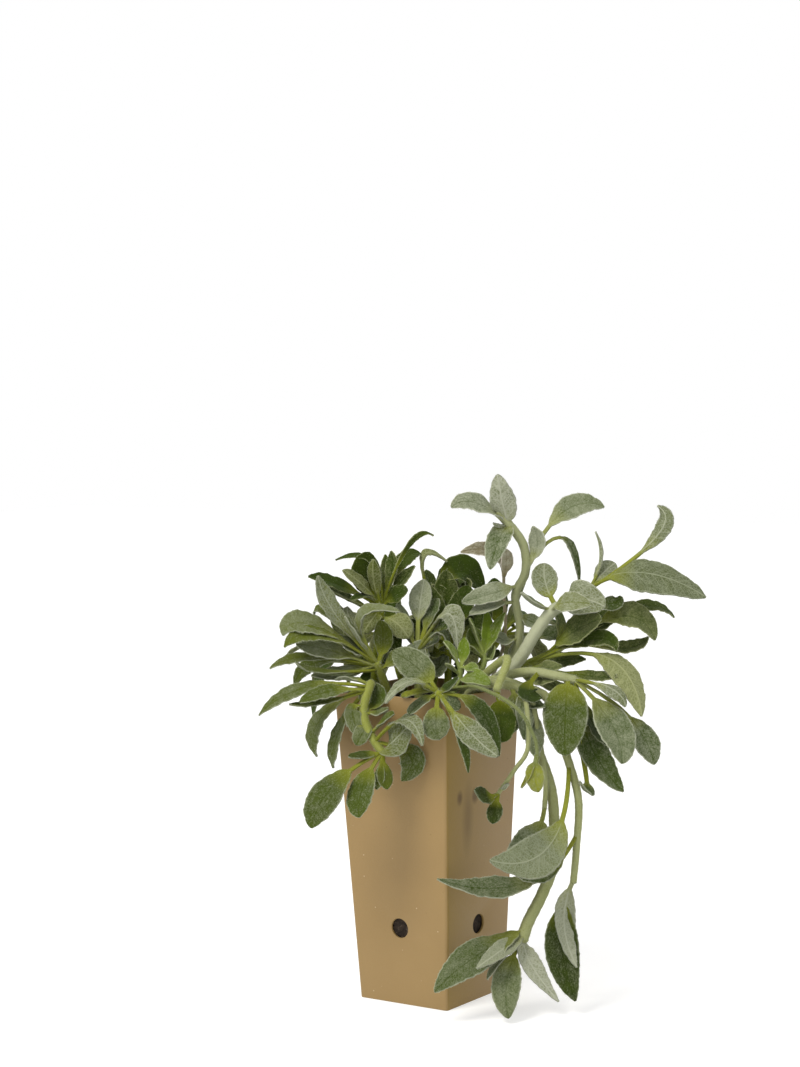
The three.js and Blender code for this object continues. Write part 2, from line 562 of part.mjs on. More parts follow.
    leaves: [
      [1.9, [-36, -36, 204], [-38, -30, 214], 18, 85, 0, 0.6],
      [2.8, [-63, -46, 212], [-83, -53, 206], 12, 200, -40, 0.25],
      [3, [-79, -41, 214], [-110, -47, 197], 12, 190, -35, 0.2],
      [2.8, [-70, -42, 204], [-90, -46, 204], 9, 190, -20, 0.25],
      [3.2, [-71, -25, 191], [-74, -21, 165], 15, 235, 20, 0.2],
      [3, [-58, -33, 185], [-63, -32, 159], 16, 235, 30, 0.2],
      [2.2, [-49, -43, 198], [-44, -45, 180], 11, 240, -20, 0.35],
      [3.2, [-51, -28, 218], [-61, -26, 217], 12, 170, 0, 0.25],
      [0, [-21, -60, 182], [-11, -65, 193], 24, 150, 70, -0.1, 0.05],
      [0.8, [-15, -69, 196], [-4, -83, 181], 12, 135, 20, -0.25],
      [0.8, [-12, -56, 170], [-18, -55, 154], 17, 285, 0, 0.2],
      [0, [-61, -66, 154], [-76, -76, 128], 23, 205, -35, 0.05, 0.3],
      [0, [-43, -68, 152], [-45, -79, 135], 18, 250, 0, 0.15],
      [0, [-29, -62, 160], [-27, -68, 151], 10, 280, 0, 0.2],
      [0, [-41, -56, 171], [-52, -58, 171], 11, 190, -20, 0.3],
      [0, [-32, -62, 159], [-34, -68, 151], 7, 265, 0, 0.3],
      [1.6, [-42, -48, 186], [-47, -51, 177], 13, 250, 0, 0.2],
      [1.2, [-29, -52, 193], [-22, -56, 198], 10, 330, 30, 0.3],
      [2, [-33, -44, 197], [-26, -48, 200], 9, 340, 20, 0.3],
      [2.6, [-47, -38, 192], [-53, -42, 189], 11, 220, -20, 0.25],
    ],
  },
];

// Shoots at the back of the pot, which lean out over the rim there. Each fans its leaves out
// to both sides of the way it leans, and by turns they hang, arch and stand up.
const backShoots = [
  { foot: [-29, 22], crown: [-50, 34, 222], lean: 174, count: 6 },
  { foot: [-17, 35], crown: [-26, 58, 234], lean: 112, count: 6 },
  { foot: [4, 41], crown: [13, 58, 236], lean: 70, count: 6 },
  { foot: [28, 25], crown: [50, 45, 234], lean: 34, count: 6 },
];
const POSTURES = [ // how far out and up a leaf's middle and its tip are from the crown
  { middle: [22, -2], tip: [34, -34], width: 19 },
  { middle: [26, 12], tip: [46, 2], width: 17 },
  { middle: [10, 22], tip: [18, 40], width: 17 },
];

// Repeatable random numbers from 0 to 1.
function randomFrom(seed) {
  let state = seed;
  return () => {
    state = (Math.imul(state, 1664525) + 1013904223) >>> 0;
    return state / 2 ** 32;
  };
}

function backShoot({ foot, crown, lean, count }, number) {
  const random = randomFrom(number + 1);
  const leaves = Array.from({ length: count }, (_, k) => {
    const side = k % 2 ? 1 : -1;
    const heading = lean + side * (14 + 22 * Math.floor(k / 2)) + 10 * random();
    const reach = 0.85 + 0.3 * random();
    const { middle, tip, width } = POSTURES[k % POSTURES.length];
    const angle = THREE.MathUtils.degToRad(heading);
    const away = ([out, up]) => [
      crown[0] + reach * out * Math.cos(angle),
      crown[1] + reach * out * Math.sin(angle),
      crown[2] + reach * up,
    ];
    return [0, away(middle), away(tip), width * reach, heading, side * 12, 0.2];
  });
  return {
    node: `leafy_stem_back_${number + 1}`, colour: GREEN,
    foot, path: [crown], radius: [2.8, 2.3], leaves,
  };
}
shoots.push(...backShoots.map(backShoot));

// ---- assembly -----------------------------------------------------------------------
function addMesh(parent, name, geometry, colour, roughness) {
  const material = new THREE.MeshStandardMaterial({ color: colour, roughness, metalness: 0 });
  const mesh = new THREE.Mesh(geometry, material);
  mesh.name = name;
  parent.add(mesh);
}

const group = new THREE.Group();
const turn = THREE.MathUtils.degToRad(PLANT_TURN);

const feet = shoots.filter(({ foot }) => foot).map(({ foot, radius }) => ({
  place: new THREE.Vector3(...foot, 0).applyAxisAngle(upward, turn),
  radius: radius[0],
}));
addMesh(group, 'pot', potGeometry(), 0xa08a62, 0.55);
addMesh(group, 'soil', soilGeometry(feet), 0x2e2922, 0.95);

const plant = new THREE.Group();
plant.rotation.z = turn;
group.add(plant);
for (const [node, stems] of Object.entries(Object.groupBy(shoots, ({ node }) => node))) {
  const pieces = stems.flatMap((stem) => [
    stemGeometry(stem),
    ...stem.leaves.map((leaf) => leafGeometry(stem, leaf)),
  ]);
  addMesh(plant, node, fuse(pieces), stems[0].colour, 0.9);
}

export default group;
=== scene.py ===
"""Lamb's ear (Stachys byzantina) growing over the rim of a tall square pot.

Sizes are written in millimetres and turned into metres when a mesh is made. The pot stands on
the origin with its sides along X and Y. The plant has its own frame, turned about Z against
the pot: x runs to the right, y away and z up, from the same origin.
"""

import math

import bpy
import numpy as np
from mathutils import Matrix, Vector


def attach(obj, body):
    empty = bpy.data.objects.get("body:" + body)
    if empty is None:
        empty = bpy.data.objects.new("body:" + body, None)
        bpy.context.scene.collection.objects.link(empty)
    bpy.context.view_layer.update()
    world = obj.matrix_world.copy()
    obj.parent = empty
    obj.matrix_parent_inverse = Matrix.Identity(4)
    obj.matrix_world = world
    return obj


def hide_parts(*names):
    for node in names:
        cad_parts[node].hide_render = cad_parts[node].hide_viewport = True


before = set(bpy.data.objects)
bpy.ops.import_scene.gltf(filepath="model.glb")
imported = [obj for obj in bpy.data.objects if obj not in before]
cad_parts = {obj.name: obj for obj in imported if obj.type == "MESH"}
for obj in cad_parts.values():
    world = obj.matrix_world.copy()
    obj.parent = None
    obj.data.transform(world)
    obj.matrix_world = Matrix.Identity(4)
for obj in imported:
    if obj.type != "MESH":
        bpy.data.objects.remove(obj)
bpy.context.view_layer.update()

# ---- Camera ----
# A long lens a little over a metre and a half away, slightly above the plant, looking at
# the pot across one of its upright edges.
PLANT_TURN = math.radians(34.6)  # from the plant's frame to the pot's
plant_frame = Matrix.Rotation(PLANT_TURN, 4, "Z")


def put_in_scene(name, data):
    """A new object that holds a mesh, a lens or a lamp."""
    thing = bpy.data.objects.new(name, data)
    bpy.context.scene.collection.objects.link(thing)
    return thing


lens = bpy.data.cameras.new("camera")
lens.sensor_width = 36
lens.lens = 83.2
camera = put_in_scene("camera", lens)
aim = Matrix.Rotation(math.radians(0.576), 4, "Z") @ Matrix.Rotation(math.radians(85.804), 4, "X")
roll = Matrix.Rotation(math.radians(-1.097), 4, "Z")
place = Matrix.Translation(Vector((0, -1.6352, 0.4304)))
camera.matrix_world = plant_frame @ place @ aim @ roll
bpy.context.scene.camera = camera

# ---- Pot ----
# A tall square pot of thin moulded plastic the colour of brown card, narrower at its foot,
# with rounded edges and one round drain hole in each side. It is one moulding.
MM = 0.001
POT_TOP = 90  # outer width across the rim
POT_BOTTOM = 70.4
POT_HEIGHT = 206.8
POT_WALL = 2
POT_FLOOR = 3
POT_CORNER = 2.4
POT_EDGE = 0.55  # rounding of its edges
DRAIN_RADIUS = 6.5
DRAIN_HEIGHT = 51.4
DRAIN_SIDES = 48
POT_BROWN = (0.277, 0.183, 0.071, 1)
POT_SHADE = (0.232, 0.148, 0.053, 1)
# painted shade for the side that faces +X, near the front corner
POT_PAINTED_SHADE = (0.2, 0.125, 0.014, 1)
POT_DIRT = (0.1, 0.055, 0.006, 1)
POT_FLECK = (0.62, 0.5, 0.33, 1)


class Field:
    """A socket whose value varies over a surface; operators on it add its Math nodes."""

    def __init__(self, tree, socket=None):
        self.tree = tree
        self.socket = socket

    def node(self, kind, settings, inputs, output=0):
        """Adds a node: its settings are made first, then its sockets get values or links."""
        made = self.tree.nodes.new("ShaderNode" + kind)
        for name, value in settings.items():
            setattr(made, name, value)
        for name, value in inputs.items():
            if isinstance(value, Field):
                self.tree.links.new(value.socket, made.inputs[name])
            else:
                made.inputs[name].default_value = value
        return Field(self.tree, made.outputs[output])

    def maths(self, operation, *values, clamp=False):
        settings = {"operation": operation, "use_clamp": clamp}
        return self.node("Math", settings, dict(enumerate(values)))

    def __add__(self, other):
        return self.maths("ADD", self, other)

    __radd__ = __add__

    def __sub__(self, other):
        return self.maths("SUBTRACT", self, other)

    def __rsub__(self, other):
        return self.maths("SUBTRACT", other, self)

    def __mul__(self, other):
        return self.maths("MULTIPLY", self, other)

    __rmul__ = __mul__

    def __truediv__(self, other):
        return self.maths("DIVIDE", self, other)

    def __abs__(self):
        return self.maths("ABSOLUTE", self)

    def share(self):
        """The value held between 0 and 1."""
        return self.maths("ADD", self, 0, clamp=True)

    def most(self, other):
        return self.maths("MAXIMUM", self, other)

    def parts(self):
        """The three numbers of a vector."""
        split = self.node("SeparateXYZ", {}, {0: self}).socket.node
        return [Field(self.tree, socket) for socket in split.outputs]

    def mix(self, low, high):
        """The colour from low, where this is 0, to high, where it is 1."""
        return self.node("Mix", {"data_type": "RGBA"}, {0: self, 6: low, 7: high}, output=2)

    def noise(self, scale, detail):
        """Smooth random value about 0, from -0.5 to 0.5, of this place."""
        return self.node("TexNoise", {}, {"Vector": self, "Scale": scale, "Detail": detail}) - 0.5


def new_material(name, roughness, **fixed):
    """A material with its plain values set, its shader, and a field to start from."""
    material = bpy.data.materials.new(name)
    material.use_nodes = True
    shader = material.node_tree.nodes["Principled BSDF"]
    shader.inputs["Roughness"].default_value = roughness
    for socket, value in fixed.items():
        shader.inputs[socket.replace("_", " ")].default_value = value
    return material, shader, Field(material.node_tree)


def connect(shader, **fields):
    for socket, field in fields.items():
        field.tree.links.new(field.socket, shader.inputs[socket.replace("_", " ")])


def bump(height, distance):
    return height.node("Bump", {}, {"Height": height, "Distance": distance, "Strength": 1.0})


def stain(y, z, at_y, at_z, wide, high):
    """A soft oval patch on the side that faces +X."""
    across = (y - at_y) / wide
    up = (z - at_z) / high
    square = across * across + up * up
    return (1.3 - square.maths("SQRT", square)).share()


def pot_material():
    material, shader, start = new_material("moulded pot plastic", 0.5, Specular_IOR_Level=0.35)
    spot = start.node("TexCoord", {}, {}, output="Object")
    x, y, z = spot.parts()
    cloudy = spot.noise(14, 3)
    grain = spot.noise(900, 2)
    flecks = spot.node("TexVoronoi", {}, {"Vector": spot, "Scale": 120}, output="Distance")
    fleck = (1 - flecks / 0.07).share()
    paler = spot.node("TexVoronoi", {}, {"Vector": spot, "Scale": 71}, output="Color").parts()[0]
    is_pale = ((paler - 0.55) * 9).share()
    base = (cloudy * 1.4 + 0.5).share().mix(POT_SHADE, POT_BROWN)
    specked = (fleck * 0.8).mix(base, is_pale.mix(POT_DIRT, POT_FLECK))
    # painted shade: the side that faces +X is darker and more olive towards the front corner,
    # where shade falls; it also has two brown dirt spots and a long dark streak below the rim
    right = ((x - 0.03) * 400).share() * ((x + y) * 600).share()
    # painted shade, mixed in on that side towards the front corner
    shade_painted = (right * ((0.02 - y) * 16).share() * 0.85).mix(specked, POT_PAINTED_SHADE)
    dirt = stain(y, z, -0.026, 0.14, 0.003, 0.0045)
    dirt = dirt.most(stain(y, z, -0.008, 0.139, 0.004, 0.005))
    dirt = dirt.most(stain(y, z, -0.016, 0.125, 0.006, 0.022) * 0.45)
    dirtied = (dirt * right * (1.1 + cloudy)).share().mix(shade_painted, POT_DIRT)
    connect(shader, Base_Color=dirtied, Roughness=0.5 + cloudy * 0.2 + grain * 0.15)
    connect(shader, Normal=bump(grain * 0.4 + cloudy * 3, 0.0003))
    return material


def pot_ring(z, inset, corner, steps=8):
    """Horizontal ring of the pot's square, so far inside its outer side, with round corners."""
    half = (POT_BOTTOM + (POT_TOP - POT_BOTTOM) * z / POT_HEIGHT) / 2 - inset
    middle = (half - corner) * math.sqrt(2)
    ring = []
    for quarter in range(4):
        turn = math.pi / 2 * (quarter + 0.5)
        for step in range(steps + 1):
            angle = math.pi / 2 * (quarter + step / steps)
            x = middle * math.cos(turn) + corner * math.cos(angle)
            y = middle * math.sin(turn) + corner * math.sin(angle)
            ring.append((x, y, z))
    return ring


def ring_faces(count, size):
    """Quads of a closed skin over rings of equal size, and its two end faces."""
    quads = []
    for i in range(count - 1):
        for k in range(size):
            a, b = i * size + k, i * size + (k + 1) % size
            quads.append((a, b, b + size, a + size))
    first = tuple(range(size - 1, -1, -1))
    last = tuple(range((count - 1) * size, count * size))
    return quads + [first, last]


def new_piece(name, points, faces):
    """A piece in the scene, from points in millimetres."""
    mesh = bpy.data.meshes.new(name)
    mesh.from_pydata((np.array(points) * MM).tolist(), [], faces)
    return put_in_scene(name, mesh)


def solid_from_rings(name, rings):
    points = [point for ring in rings for point in ring]
    return new_piece(name, points, ring_faces(len(rings), len(rings[0])))


def drain_cutter(side):
    """A round bar through the pot's two opposite sides."""
    angles = [2 * math.pi * k / DRAIN_SIDES for k in range(DRAIN_SIDES)]
    circle = [(DRAIN_RADIUS * math.cos(a), DRAIN_RADIUS * math.sin(a)) for a in angles]
    ends = [[(x, end, DRAIN_HEIGHT - down) for x, down in circle] for end in (-60, 60)]
    bar = solid_from_rings("drain cutter", ends)
    bar.data.transform(Matrix.Rotation(side * math.pi / 2, 4, "Z"))
    return bar


def make_pot():
    """Cuts the hollow and the drain holes, and rounds the edges."""
    outside = [pot_ring(z, 0, POT_CORNER) for z in (0, 40, 80, 120, 160, POT_HEIGHT)]
    inside = [pot_ring(z, POT_WALL, POT_CORNER - POT_WALL / 2) for z in (POT_FLOOR, POT_HEIGHT + 1)]
    pot = solid_from_rings("square_pot", outside)
    cutters = [solid_from_rings("pot hollow", inside), drain_cutter(0), drain_cutter(1)]
    for cutter in cutters:
        cut = pot.modifiers.new("cut", "BOOLEAN")
        cut.operation = "DIFFERENCE"
        cut.object = cutter
    softened = pot.modifiers.new("soft edges", "BEVEL")
    softened.width = POT_EDGE * MM
    softened.segments = 3
    softened.limit_method = "ANGLE"
    softened.angle_limit = math.radians(40)
    graph = bpy.context.evaluated_depsgraph_get()
    shaped = bpy.data.meshes.new_from_object(pot.evaluated_get(graph))
    pot.modifiers.clear()
    pot.data = shaped
    for cutter in cutters:
        bpy.data.objects.remove(cutter)
    return pot


pot = make_pot()
pot.data.materials.append(pot_material())
pot.data.shade_smooth()
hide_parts("pot")
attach(pot, "root")

# ---- Soil ----
# Dark peaty potting soil that fills the pot to a finger's width below the rim, rough with
# crumbs and pale bits of root. The stems stand in it, and it shows in the drain holes.
SOIL_GAP = 0.3  # between the soil and the pot
SOIL_EDGE = 197  # height at the wall
SOIL_CROWN = 199.5
SOIL_HALF = 41.5
SOIL_MIDDLE = 51  # a ring at this height divides its tall sides
SOIL_STEPS = 30  # rings from the wall to the middle
CRUMBS = 900
CRUMB_REACH = 39  # how far from the middle they lie
SOIL_DARK = (0.012, 0.009, 0.007, 1)
SOIL_BROWN = (0.055, 0.038, 0.026, 1)
ROOT_PALE = (0.3, 0.25, 0.18, 1)


def soil_material():
    material, shader, start = new_material("peaty potting soil", 0.95, Specular_IOR_Level=0.2)
    spot = start.node("TexCoord", {}, {}, output="Object")
    lumps = spot.noise(260, 4)
    bits = spot.noise(1100, 2)
    x, y, z = spot.parts()
    threads = spot.node("CombineXYZ", {}, {0: x * 3, 1: y * 3, 2: z}).noise(150, 1)
    thread = (1 - abs(threads) / 0.012).share() * (lumps * 5).share()
    earth = (lumps * 1.6 + bits + 0.4).share().mix(SOIL_DARK, SOIL_BROWN)
    connect(shader, Base_Color=(thread * 0.8).mix(earth, ROOT_PALE))
    connect(shader, Normal=bump(lumps + bits * 0.5, 0.002))
    return material


def soil_top(x, y):
    """Height of the soil: a low crown with lumps."""
    edge = max(abs(x), abs(y)) / SOIL_HALF
    sin = math.sin
    lump = sin(0.71 * x + 1.3 * sin(0.37 * y)) * sin(0.63 * y + 0.9 * sin(0.45 * x))
    fine = sin(1.9 * x + 2.3 * sin(0.8 * y)) * sin(2.1 * y + 1.7 * sin(1.1 * x))
    return SOIL_CROWN + (SOIL_EDGE - SOIL_CROWN) * edge**2 + 0.5 * lump + 0.35 * fine


def make_soil():
    """The block of soil, its top drawn in square rings from the wall to the middle."""
    heights = (POT_FLOOR + SOIL_GAP, SOIL_MIDDLE, SOIL_EDGE - 2)
    rings = [pot_ring(z, POT_WALL + SOIL_GAP, 2) for z in heights]
    outer = rings[-1]
    for k in range(SOIL_STEPS):
        share = 1 - k / SOIL_STEPS
        ring = [(x * share, y * share) for x, y, _ in outer]
        rings.append([(x, y, soil_top(x, y)) for x, y in ring])
    return solid_from_rings("potting_soil", rings)


def make_crumbs(random):
    """Small angular lumps that lie on the soil."""
    points = []
    faces = []
    corners = np.array([(1, 0, 0), (0, 1, 0), (-1, 0, 0), (0, -1, 0), (0, 0, 1), (0, 0, -1)], float)
    sides = [(0, 1, 4), (1, 2, 4), (2, 3, 4), (3, 0, 4), (1, 0, 5), (2, 1, 5), (3, 2, 5), (0, 3, 5)]
    for first in range(0, CRUMBS * len(corners), len(corners)):
        x, y = random.uniform(-CRUMB_REACH, CRUMB_REACH, 2)
        size = random.uniform(0.4, 1.5, 3) * random.uniform(0.5, 1)
        spun = corners * size @ np.array(Matrix.Rotation(random.uniform(0, 3), 3, "Z"))
        jolted = spun + random.uniform(-0.2, 0.2, (6, 3)) * size
        points += (jolted + (x, y, soil_top(x, y) + 0.2)).tolist()
        faces += [tuple(first + c for c in side) for side in sides]
    return new_piece("soil_crumbs", points, faces)


soil_finish = soil_material()
soil = make_soil()
soil.data.shade_smooth()
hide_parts("soil")
for piece in (soil, make_crumbs(np.random.default_rng(4))):
    piece.data.materials.append(soil_finish)
    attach(piece, "root")

# ---- Felted leaves, stems and hairs ----
# Every shoot is a soft square stem and long oval leaves with a stalk, all one living piece.
# Leaf and stem are covered in white hairs, thick on young stems, undersides, veins and rims.
STEM_RISE = (186, 200, 206)  # heights between which a stem stands upright in the soil
STEM_STEP = 2  # between the rings of a stem
LEAF_STEP = 1.5
LINE_SHARES = np.linspace(0, 1, 600)  # where a stem's line is measured
STALK_SHARE = 0.22  # of a leaf's length
TIP_HALF = 0.42  # half the width of a leaf's very tip
WAVE = 0.8  # how far a leaf's edge waves up and down
WAVE_STEP = 19  # length of blade for one wave
VEIN_STEP = 5.6  # between the side veins of a leaf
VEIN_LEAN = 1.05  # how far they run towards the tip for each millimetre outwards
HAIR_HALF = 0.045  # half the width of a hair at its root
STEM_HAIRS = (1.3, 1.3)  # how many to the square millimetre, and how long
FACE_HAIRS = (0.3, 0.8)
RIM_HAIRS = (2.6, 0.9)  # how many to the millimetre, and how long
STEM_TONE = (0.3, 0, 0)  # how much hairier, paler and yellower stems are than leaves
LEAF_TONES = (0.3, 0.2, 0.1)  # how far leaves differ in this from one another
LEAF_SHIFT = 29  # moves the pattern on from leaf to leaf
FACE_SHIFT = 400  # and from a leaf's upper face to its lower
HAIR_WHITE = (0.4, 0.43, 0.3, 1)


def tinted(colour, red, green, blue):
    return (colour[0] * red, colour[1] * green, colour[2] * blue, 1)


def leaf_material(slot, upper, under, stalk, felt, cover):
    """Leaf skin under hair, with its slot.

    Upper and under are the greens of its faces, and cover is how thick the hair is on them.
    """
    material, shader, start = new_material(
        slot.replace("_", " "), 0.75, Specular_IOR_Level=0.09, Sheen_Weight=0.04,
        Sheen_Roughness=0.5, Sheen_Tint=(0.9, 0.95, 0.8, 1),
    )
    blade, form, nature = (
        start.node("Attribute", {"attribute_name": name}, {}, output="Vector")
        for name in ("blade", "form", "nature")
    )
    along, across, _ = blade.parts()
    reach, side, face = form.parts()
    hairier, lighter, yellower = nature.parts()
    cloud = blade.noise(0.14, 2)
    combed = start.node("VectorMath", {"operation": "MULTIPLY"}, {0: blade, 1: (0.4, 1, 1)})
    blotch = combed.noise(0.8, 3)
    speckle = combed.noise(2.6, 2)
    is_upper = (face * 3).share()
    is_blade = (reach * 12).share()
    away = abs(across)
    midrib = (1.15 - away / 0.75).share()
    phase = (along + blotch * 1.6 - away * VEIN_LEAN) / VEIN_STEP
    off = abs(phase.maths("FRACT", phase) - 0.5) * VEIN_STEP
    branch = (1.1 - off / 0.6).share() * (1.25 - abs(side)).share()
    net_inputs = {"Vector": blade, "Scale": 0.5}
    cells = start.node("TexVoronoi", {"feature": "DISTANCE_TO_EDGE"}, net_inputs, output="Distance")
    net = (1 - cells / 0.16).share()
    vein = midrib.most(branch * 0.9).most(net * 0.7) * is_blade
    rim = ((abs(side) - 0.91) * 12).share() * is_blade
    hair_above, hair_below = cover
    hair = hair_below + is_upper * (hair_above - hair_below) + hairier + cloud * 0.9
    hair = hair + vein * (0.6 - 0.95 * is_upper) + rim * 0.5 + speckle * 1.3 + blotch * 0.7
    skin = is_upper.mix(under, upper)
    skin = (cloud * 1.7 + 0.35 - lighter * 2).share().mix(skin, tinted(upper, 0.5, 0.5, 0.5))
    skin = (yellower + 0.25 * speckle).share().mix(skin, stalk)
    ripe = (reach * 2.8 + 0.1).share()
    whiter = (rim * 0.5 + vein * (0.5 - 0.5 * is_upper) + lighter).share()
    down = ripe.mix(tinted(stalk, 1.4, 1.4, 2.2), felt)
    wool = whiter.mix(down, tinted(felt, 2, 1.85, 2.4))
    colour = (hair.share() * 0.94).mix(ripe.mix(stalk, skin), wool)
    connect(shader, Base_Color=colour)
    relief = (1 - 1.6 * is_upper) * vein * 0.9 + speckle * 0.8 + blotch * 0.3
    connect(shader, Normal=bump(relief, 0.0004))
    return material, slot


def unit(vectors):
    return vectors / np.linalg.norm(vectors, axis=-1, keepdims=True)


class StemLine:
    """The smooth line a stem grows along, through the points of its path."""

    def __init__(self, foot, path):
        rise = [(*foot, z) for z in STEM_RISE] if foot else []
        points = np.array(rise + path, float)
        self.steps = len(points) - 1
        before, after = 2 * points[0] - points[1], 2 * points[-1] - points[-2]
        self.points = np.array([before, *points, after])
        gaps = np.linalg.norm(np.diff(self.at(LINE_SHARES), axis=0), axis=1)
        self.lengths = np.concatenate([[0], np.cumsum(gaps)])
        self.length = self.lengths[-1]

    def at(self, share):
        """Points on the line, by share of its steps."""
        place = np.atleast_1d(share) * self.steps
        first = np.clip(np.floor(place).astype(int), 0, self.steps - 1)
        t = (place - first)[:, None]
        p0, p1, p2, p3 = (self.points[first + k] for k in range(4))
        v1, v2 = (p2 - p0) / 2, (p3 - p1) / 2
        return p1 + v1 * t + (3 * (p2 - p1) - 2 * v1 - v2) * t**2 + (2 * (p1 - p2) + v1 + v2) * t**3

    def even(self, share):
        """Points on the line, by share of its length."""
        return self.at(np.interp(share * self.length, self.lengths, LINE_SHARES))


class Skin:
    """Collects the rings of a shoot's parts, and the hairs that grow on them."""

    def __init__(self, seed):
        self.random = np.random.default_rng(seed)
        self.points, self.faces, self.hairs = [], [], []
        self.values = {"blade": [], "form": [], "nature": []}
        self.count = 0

    def add(self, rings, **values):
        """Takes in a part, with three numbers of each kind for its points."""
        rows, size, _ = rings.shape
        self.faces += [tuple(self.count + k for k in face) for face in ring_faces(rows, size)]
        self.count += rows * size
        self.points.append(rings.reshape(-1, 3))
        for name, three in values.items():
            spread = [np.broadcast_to(number, (rows, size)) for number in three]
            self.values[name].append(np.stack(spread, axis=-1).reshape(-1, 3))

    def scatter(self, rings, first, last, count):
        """Random places on a part: their rows, from first to last, their columns and points."""
        i = self.random.integers(first, last, count)
        k = self.random.integers(0, rings.shape[1], count)
        f = self.random.random((count, 2))
        at = rings[i, k]
        points = at + (rings[i - 1, k] - at) * f[:, :1] + (rings[i, k - 1] - at) * f[:, 1:]
        return i, k, points

    def grow_hairs(self, roots, ways, long):
        """One thin, tapering hair from each root."""
        count = len(roots)
        length = long * self.random.uniform(0.6, 1.3, (count, 1))
        ways = unit(ways + self.random.normal(0, 0.35, (count, 3)))
        flat = unit(np.cross(ways, self.random.normal(0, 1, (count, 3)))) * HAIR_HALF
        hair = np.stack([roots - flat, roots + flat, roots + ways * length], axis=1)
        self.hairs.append(hair)


def stem_rings(skin, line, radius, number, nature):
    """The stem: nearly square, with rounded sides and a domed end."""
    sides = 16
    rows = max(6, int(line.length / STEM_STEP))
    share = np.linspace(0, 1, rows)
    centres = line.even(share)
    along = unit(np.gradient(centres, axis=0))
    thick = radius[0] + (radius[1] - radius[0]) * share
    # how far past the line's end, and how wide there, as a share of the radius
    dome = np.array([(0.25, 0.97), (0.5, 0.87), (0.72, 0.68), (0.85, 0.4)])
    tips = centres[-1] + along[-1] * dome[:, :1] * radius[1]
    centres = np.vstack([centres, tips])
    along = np.vstack([along, np.repeat(along[-1:], len(dome), axis=0)])
    thick = np.concatenate([thick, radius[1] * dome[:, 1]])
    across = np.zeros_like(centres)
    last = np.array((1.0, 0, 0))
    for i, way in enumerate(along):
        last = last - way * last.dot(way)
        last /= np.linalg.norm(last)
        across[i] = last
    other = np.cross(along, across)
    angle = 2 * np.pi * np.arange(sides) / sides
    out = across[:, None] * np.cos(angle)[:, None] + other[:, None] * np.sin(angle)[:, None]
    distance = np.concatenate([share * line.length, line.length + dome[:, 0]])[:, None]
    rough = 0.03 * np.sin(distance * 0.9 + 2 * angle + number)
    size = thick[:, None] * (1 + 0.05 * np.cos(4 * angle) + rough)
    rings = centres[:, None] + out * size[..., None]
    blade = (distance, angle * 2.5, LEAF_SHIFT * number)
    skin.add(rings, blade=blade, form=(-0.2, 0, 0), nature=nature)
    density, long = STEM_HAIRS
    count = int(line.length * thick.mean() * 2 * np.pi * density)
    i, k, roots = skin.scatter(rings, 3, len(rings) - 1, count)
    skin.grow_hairs(roots, out[i, k] + 0.3 * along[i], long)


def half_width(s, width, stalk, length):
    """Half the leaf's width at s, from 0 at the stem to 1 at the tip.

    A short stalk goes with a blade that is widest near the stem, and broad leaves end more
    bluntly than narrow ones.
    """
    stalk_half = min(1.3, 0.14 * width)
    u = np.clip((s - stalk) / (1 - stalk), 0, 1)
    bluntness = np.clip(0.92 - 0.65 * width / (length * (1 - stalk)), 0.48, 0.8)
    blade = width / 2 * np.sin(np.pi * u ** (0.7 + stalk)).clip(0) ** bluntness
    return np.maximum(blade, np.where(s <= stalk, stalk_half, stalk_half * (1 - u) + TIP_HALF * u))


